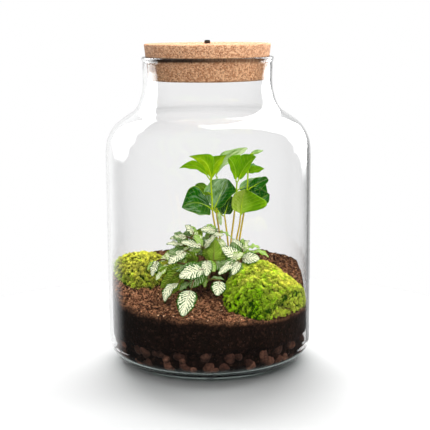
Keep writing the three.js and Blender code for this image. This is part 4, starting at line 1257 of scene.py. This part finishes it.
NERVE_PLANT = {
    "nerve_plant_front": {
        "foot": (-8, -28), "rise": [(-9, -34, 84), (-12, -48, 92), (-14, -60, 86)],
        "leaves": [
            blade(2, (-16, -66, 80), (-23, -85, 60), (-0.1, -0.8, 0.6), 17.5, 3, fold=0.1),
            blade(1, (-5, -47, 94), (-27, -58, 89), (0.2, -0.8, 0.65), 16, 3, fold=0.1),
            blade(1, (-18, -54, 84), (-26, -58, 77), (-0.2, -0.6, 0.8), 7, tint=DEEP_NET),
        ],
    },
    "nerve_plant_left": {
        "foot": (-15, -20), "rise": [(-16, -26, 88), (-20, -33, 95), (-31, -35, 98), (-42, -31, 100)],
        "leaves": [
            blade(1, (-27, -52, 83), (-39, -68, 69), (-0.55, -0.75, 0.45), 12, 3, fold=0.1, sweep=2,
                  via=[(-24, -44, 90)]),
            blade(1, (-23, -36, 92), (-44, -48, 77), (-0.3, 0.8, 0.5), 16, 2),
            blade(3, (-47, -30, 99), (-52, -36, 85), (-0.5, -0.8, 0.2), 9),
            blade(1, (-11, -28, 97), (-31, -30, 99), (0, 0.6, 0.8), 11, 2),
            blade(2, (-37, -36, 97), (-48, -44, 83), (-0.7, -0.65, 0.3), 9, tint=MIXED_NET),
            blade(2, (-30, -32, 99), (-40, -34, 106), (-0.3, -0.8, 0.4), 9, tint=MIXED_NET),
            blade(1, (-18, -34, 93), (-34, -40, 92), (-0.1, -0.7, 0.7), 9, tint=DEEP_NET),
        ],
    },
    "nerve_plant_middle": {
        "foot": (1, -24), "rise": [(1, -29, 86), (0, -33, 96)],
        "leaves": [
            blade(1, (-2, -38, 101), (-2, -46, 87), (0, -0.9, 0.5), 11, fold=0.2),
            blade(1, (4, -27, 97), (5, -21, 117), (0.2, 0.9, 0.2), 14, 2, fold=0.1),
            blade(0, (10, -58, 86), (7, -66, 74), (-0.1, -0.85, 0.5), 14, via=[(0, -50, 86)]),
            blade(0, (-1, -42, 82), (14, -52, 85), (0, -0.3, 0.95), 6, 3, tint=DEEP_NET),
            blade(0, (-3, -40, 87), (-4, -43, 76), (-0.4, -0.9, 0.1), 5, 0.5, tint=GREEN_NET),
            blade(1, (-4, -30, 98), (-12, -36, 88), (-0.2, -0.8, 0.5), 9, tint=DEEP_NET),
            blade(1, (5, -28, 97), (14, -34, 88), (0.2, -0.8, 0.5), 9, tint=DEEP_NET),
        ],
    },
    "nerve_plant_top": {
        "foot": (-9, -10), "rise": [(-10, -12, 96), (-13, -15, 110), (-17, -16, 117)],
        "leaves": [
            blade(1, (-21, -28, 107), (-37, -40, 97), (-0.2, -0.75, 0.6), 12, 2),
            blade(2, (-14, -13, 120), (-22, -18, 129), (0.2, -0.7, 0.7), 9),
            blade(2, (-20, -16, 118), (-36, -20, 117), (-0.1, -0.6, 0.8), 9),
            blade(1, (-23, -22, 112), (-39, -30, 114), (0, -0.5, 0.85), 7),
            blade(1, (-6, -24, 110), (-26, -30, 116), (0.1, -0.7, 0.7), 9),
            blade(1, (-28, -20, 106), (-45, -28, 97), (-0.5, -0.7, 0.5), 10, tint=MIXED_NET),
            blade(1, (-10, -20, 103), (-24, -24, 108), (-0.1, -0.8, 0.5), 10, tint=MIXED_NET),
            blade(1, (-16, -19, 103), (-32, -18, 108), (-0.2, -0.8, 0.5), 9, tint=DEEP_NET),
            blade(2, (-21, -14, 112), (-31, -13, 120), (-0.2, -0.8, 0.5), 9, tint=MIXED_NET),
            blade(2, (-11, -12, 113), (-15, -8, 124), (0, -0.9, 0.3), 8, tint=MIXED_NET),
        ],
    },
    "nerve_plant_crown": {
        "foot": (-1, -11), "rise": [(-1, -13, 98), (0, -12, 112), (3, -9, 119)],
        "leaves": [
            blade(2, (7, -8, 121), (-8, -14, 124), (0, -0.7, 0.7), 10, 1.5),
            blade(2, (9, -7, 121), (22, -3, 113), (0.2, -0.25, 0.95), 6, 2, tint=GREEN_NET),
            blade(1, (1, -13, 118), (14, -14, 119), (0, -0.6, 0.8), 6),
            blade(1, (-5, -18, 107), (6, -24, 120.5), (-0.4, -0.8, 0.4), 7),
            blade(1, (-4, -15, 112), (-14, -17, 119), (0, -0.8, 0.5), 8, tint=MIXED_NET),
            blade(1, (4, -9, 111), (16, -10, 109), (0.1, -0.8, 0.5), 9, tint=MIXED_NET),
            blade(0, (2, -10, 104), (-14, -13, 103), (0, -0.8, 0.5), 11, tint=DEEP_NET),
        ],
    },
    "nerve_plant_right": {
        "foot": (9, -17), "rise": [(10, -18, 86), (18, -20, 95), (26, -20, 97)],
        "leaves": [
            blade(2, (27, -24, 97), (8, -40, 87), (-0.1, -0.7, 0.7), 10, 2),
            blade(2, (28, -28, 97), (21, -38, 86), (-0.1, -0.9, 0.4), 9, fold=0.1),
            blade(2, (29, -16, 97), (11, -19, 108), (0, -0.85, 0.5), 13, 2),
            blade(2, (30, -19, 97), (47, -22, 98), (0.1, -0.8, 0.6), 13, 2),
            blade(1, (16, -18, 97), (6, -24, 90), (-0.1, -0.8, 0.5), 9, tint=DEEP_NET),
            blade(1, (20, -19, 97), (32, -22, 103), (0.1, -0.8, 0.6), 9, tint=MIXED_NET),
        ],
    },
    "nerve_plant_right_back": {
        "foot": (7, -7), "rise": [(9, -6, 92), (20, -6, 99), (31, -5, 102)],
        "leaves": [
            blade(2, (40, -3, 101), (56, -8, 96), (0.2, -0.3, 0.9), 8, 3, tint=GREEN_NET),
            blade(2, (30, -5, 106), (38, -6, 112), (0.2, -0.6, 0.8), 6, 0.5),
            blade(2, (31, -10, 104), (22, -13, 115), (-0.2, -0.8, 0.5), 8),
            blade(2, (35, -4, 104), (48, -5, 105), (0.1, -0.3, 0.95), 7, 2, tint=GREEN_NET),
            blade(1, (21, -8, 101), (10, -9, 104), (-0.1, -0.8, 0.5), 10, tint=DEEP_NET),
            blade(2, (31, -8, 102), (36, -9, 110), (0.1, -0.8, 0.5), 9, tint=MIXED_NET),
        ],
    },
    "nerve_plant_back": {
        "foot": (-14, 1), "rise": [(-14, 3, 96), (-15, 5, 104)],
        "leaves": [
            blade(1, (-18, 6, 107), (-36, 10, 111), (-0.2, 0.3, 0.95), 10, 2),
            blade(1, (-17, 9, 105), (-22, 28, 103), (-0.1, 0.5, 0.85), 12, 3),
            blade(1, (-13, 8, 104), (-4, 25, 97), (0.3, 0.4, 0.85), 11, 2),
            blade(1, (-13, 7, 108), (-7, 16, 120), (0.2, 0.7, 0.5), 9),
            blade(0, (-18, 5, 99), (-35, 16, 100), (-0.4, 0.3, 0.85), 11, 2),
        ],
    },
}


def shade_leaves(leaves, seed):
    """Green leaves that stand behind the white ones of a nerve plant."""
    rng = np.random.default_rng(seed)
    added = []
    for entry in leaves:
        base, tip = np.array(entry["base"], float), np.array(entry["tip"], float)
        if "tint" in entry or "via" in entry or tip[2] < LOWEST_SHADED:
            continue
        for hand, back in SHADE_SIDES:
            turn = hand * rng.uniform(0.45, 0.8)
            sine, cosine = math.sin(turn), math.cos(turn)
            x, y, z = (tip - base) * rng.uniform(0.75, 0.95)
            start = base + (0, back, -2.0)
            end = start + (x * cosine - z * sine, y, x * sine + z * cosine)
            end[2] = max(end[2], float(soil_height(end[0], end[1])) + 3)
            tint = DEEP_NET if rng.uniform() < 0.5 else GREEN_NET
            size = SHADE_SIZE * entry["size"]
            added.append(blade(entry["from"], start, end, entry["face"], size, tint=tint))
    return added


def leafy_stem(node, plant, leaves, kind, tint, stem, materials, seed):
    """One plant of a table. A leaf that names no kind or tint of its own has the ones given here."""
    x, y = plant["foot"]
    ground = float(soil_height(x, y))
    shape = Shape()
    path = curve_points([(x, y, ground - STEM_DEPTH), (x, y, ground + 0.5), *plant["rise"]], steps=8)
    share = smoothstep((path[:, 2] - stem["change"]) / 14)[:, None]
    bark = np.repeat(stem["low"] * (1 - share) + stem["high"] * share, STEM_SIDES, axis=0)
    bark = np.concatenate([bark, stem["low"][None], stem["high"][None]])
    radii = np.linspace(STEM_RADIUS * 1.1, STEM_RADIUS * 0.85, len(path))
    tube(shape, path, radii, STEM_SIDES, 1, tint=bark, leaf=(0, 0, 0, 1))
    for k, entry in enumerate(leaves):
        entry = {"tint": tint, "kind": kind, **entry}
        stem_point = plant["rise"][entry["from"]]
        leaf(shape, entry, entry["kind"], stem_point, stem["high"], 100 * seed + k)
    shape.piece(node + "_leafy", materials, node)


def coffee_seedlings(stems):
    materials = [coffee_material(), stems]
    for seed, (node, plant) in enumerate(COFFEE.items()):
        leaves = plant["leaves"]
        leafy_stem(node, plant, leaves, "pointed", LIME, COFFEE_STEM, materials, seed)


def nerve_plants(stems):
    materials = [nerve_material(), stems]
    for seed, (node, plant) in enumerate(NERVE_PLANT.items(), NERVE_SEED):
        leaves = plant["leaves"] + shade_leaves(plant["leaves"], seed)
        leafy_stem(node, plant, leaves, "oval", WHITE_NET, NERVE_STEM, materials, seed)


# ------------------------------------------------------------ camera, floor and light
def camera():
    data = bpy.data.cameras.new("camera")
    data.lens = LENS
    data.sensor_width = SENSOR
    data.clip_start = 0.01
    made = bpy.data.objects.new("camera", data)
    bpy.context.scene.collection.objects.link(made)
    forward = Vector((0, math.cos(CAMERA_DIP), -math.sin(CAMERA_DIP)))
    level_up = Vector((0, math.sin(CAMERA_DIP), math.cos(CAMERA_DIP)))
    level_right = Vector((1, 0, 0))
    up = level_up * math.cos(CAMERA_ROLL) + level_right * math.sin(CAMERA_ROLL)
    right = level_right * math.cos(CAMERA_ROLL) - level_up * math.sin(CAMERA_ROLL)
    turn = Matrix((right, up, -forward)).transposed()
    made.matrix_world = Matrix.Translation(Vector(CAMERA_PLACE) * MM) @ turn.to_4x4()
    bpy.context.scene.camera = made


def floor():
    """A round white table top with a chamfered edge."""
    rim = [(FLOOR_RADIUS - 6, -12), (FLOOR_RADIUS, -6), (FLOOR_RADIUS - 1, -1), (FLOOR_RADIUS - 3, 0)]
    shape = Shape()
    lathe(shape, [(0, -12), *rim, (0, 0)], FLOOR_SEGMENTS)
    shape.make("floor", [floor_material()], smooth=False)


def softbox(name, corner, right, up, radiance):
    """A one-sided panel that lights the jar, from one corner and its two edges in metres."""
    corner, right, up = Vector(corner), Vector(right), Vector(up)
    data = bpy.data.lights.new(name, "AREA")
    data.shape = "RECTANGLE"
    data.size, data.size_y = right.length, up.length
    data.energy = radiance * math.pi * right.length * up.length
    made = bpy.data.objects.new(name, data)
    bpy.context.scene.collection.objects.link(made)
    x_axis = right.normalized()
    y_axis = (up - x_axis * up.dot(x_axis)).normalized()
    centre = corner + right / 2 + up / 2
    z_axis = x_axis.cross(y_axis)
    if z_axis.dot(centre) < 0:
        x_axis, z_axis = -x_axis, -z_axis
    turn = Matrix((x_axis, y_axis, z_axis)).transposed()
    made.matrix_world = Matrix.Translation(centre) @ turn.to_4x4()
    made.visible_camera = made.visible_glossy = made.visible_transmission = False


def world():
    """White to look at, also through glass. Mirrored once, it is a dim studio with two tall panels."""
    made = bpy.data.worlds.new("studio")
    bpy.context.scene.world = made
    made.cycles.sampling_method = "NONE"
    made.use_nodes = True
    t = Tree.within(made.node_tree)
    ray = t.node("LightPath").outputs
    direction = t.node("SeparateXYZ", {0: t.get("TexCoord", output="Generated")}).outputs
    x, y, z = (Number(t, part) for part in direction)
    degrees = 180 / math.pi
    azimuth = t.maths("ARCTAN2", x, y * -1.0) * degrees
    height = t.maths("ARCSINE", z) * degrees

    def outline(azimuth, sides):
        """A number that is above 0 inside the outline that the sides close."""
        inside = 100.0
        for across, up, start in sides:
            inside = t.maths("MINIMUM", inside, height * up + (azimuth * across + start))
        return inside

    def choose(share, first, second):
        return t.get("Mix", {0: share, 2: first, 3: second})

    left = outline(azimuth, LEFT_PANEL)
    turn = t.maths("FLOORED_MODULO", azimuth, 360.0)
    flare = t.maths("MAXIMUM", height - 60.0, 0.0) * 2.9 + 159.0
    right = t.maths("MINIMUM", outline(turn, RIGHT_PANEL), flare - turn)
    either = t.maths("MAXIMUM", t.span(left, -1.3, 1.3), t.span(right, -1.3, 1.3))
    backdrop = t.span(x * -0.3 + y * 0.95, 0.6, 0.95, WORLD_MIRRORED, WORLD_SEEN)
    near = t.maths("LESS_THAN", ray["Transmission Depth"], 2.5)
    mirrored = either * PANEL_RADIANCE * near + backdrop
    once = t.maths("COMPARE", ray["Glossy Depth"], 1.0, 0.5)
    scattered = t.maths("GREATER_THAN", ray["Diffuse Depth"], 0.5)
    strength = choose(scattered, choose(once, WORLD_SEEN, mirrored), WORLD_FILL)
    strength = choose(ray["Is Camera Ray"], strength, 1.0)
    back = t.get("Background", {"Color": (1, 1, 1, 1), "Strength": strength})
    t.node("OutputWorld", {"Surface": back})


def lights():
    softbox("left_key", (-1.25, -0.4, 0.3), (0.45, 1.2, 0), (0, 0, 1.05), 0.4)
    softbox("right_key", (1.2, -0.75, 0.35), (-0.35, 1.30, 0), (-0.35, 0.0, 1.1), 5.0)
    softbox("back_low", (-0.8, 1.25, 0.45), (1.6, 0, 0), (0, 0.25, 0.6), 2.0)
    softbox("back_middle", (-0.8, 1.15, 0.72), (1.6, 0, 0), (0, 0.25, 0.5), 20.0)
    softbox("above", (-0.5, 0.1, 1.35), (1.0, 0, 0), (0, 0.32, -0.03), 9.0)
    softbox("back_top", (-0.6, 0.75, 1.25), (1.2, 0, 0), (0, 0.6, -0.35), 2.5)
    softbox("front_top", (-0.4, -1.1, 0.95), (1.2, 0, 0), (0, 0.5, 0.5), 4.7)
    softbox("front_fill", (-0.9, -1.3, 0.02), (1.8, 0, 0), (0, 0, 0.6), 3.0)


# ------------------------------------------------------------ the scene
def main():
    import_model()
    bpy.context.scene.view_settings.view_transform = "Standard"
    camera()
    world()
    lights()
    floor()
    soil = soil_material()
    glass_jar()
    cork_lid()
    lid_stud()
    soil_bank(soil)
    soil_crumbs(soil)
    clay_stones(clay_material())
    settled_bed(soil)
    moss = moss_material()
    moss_cushion("moss_cushion_right", MOSS_RIGHT, "moss_right", moss)
    moss_cushion("moss_cushion_left", MOSS_LEFT, "moss_left", moss)
    stems = stem_material()
    coffee_seedlings(stems)
    nerve_plants(stems)


main()
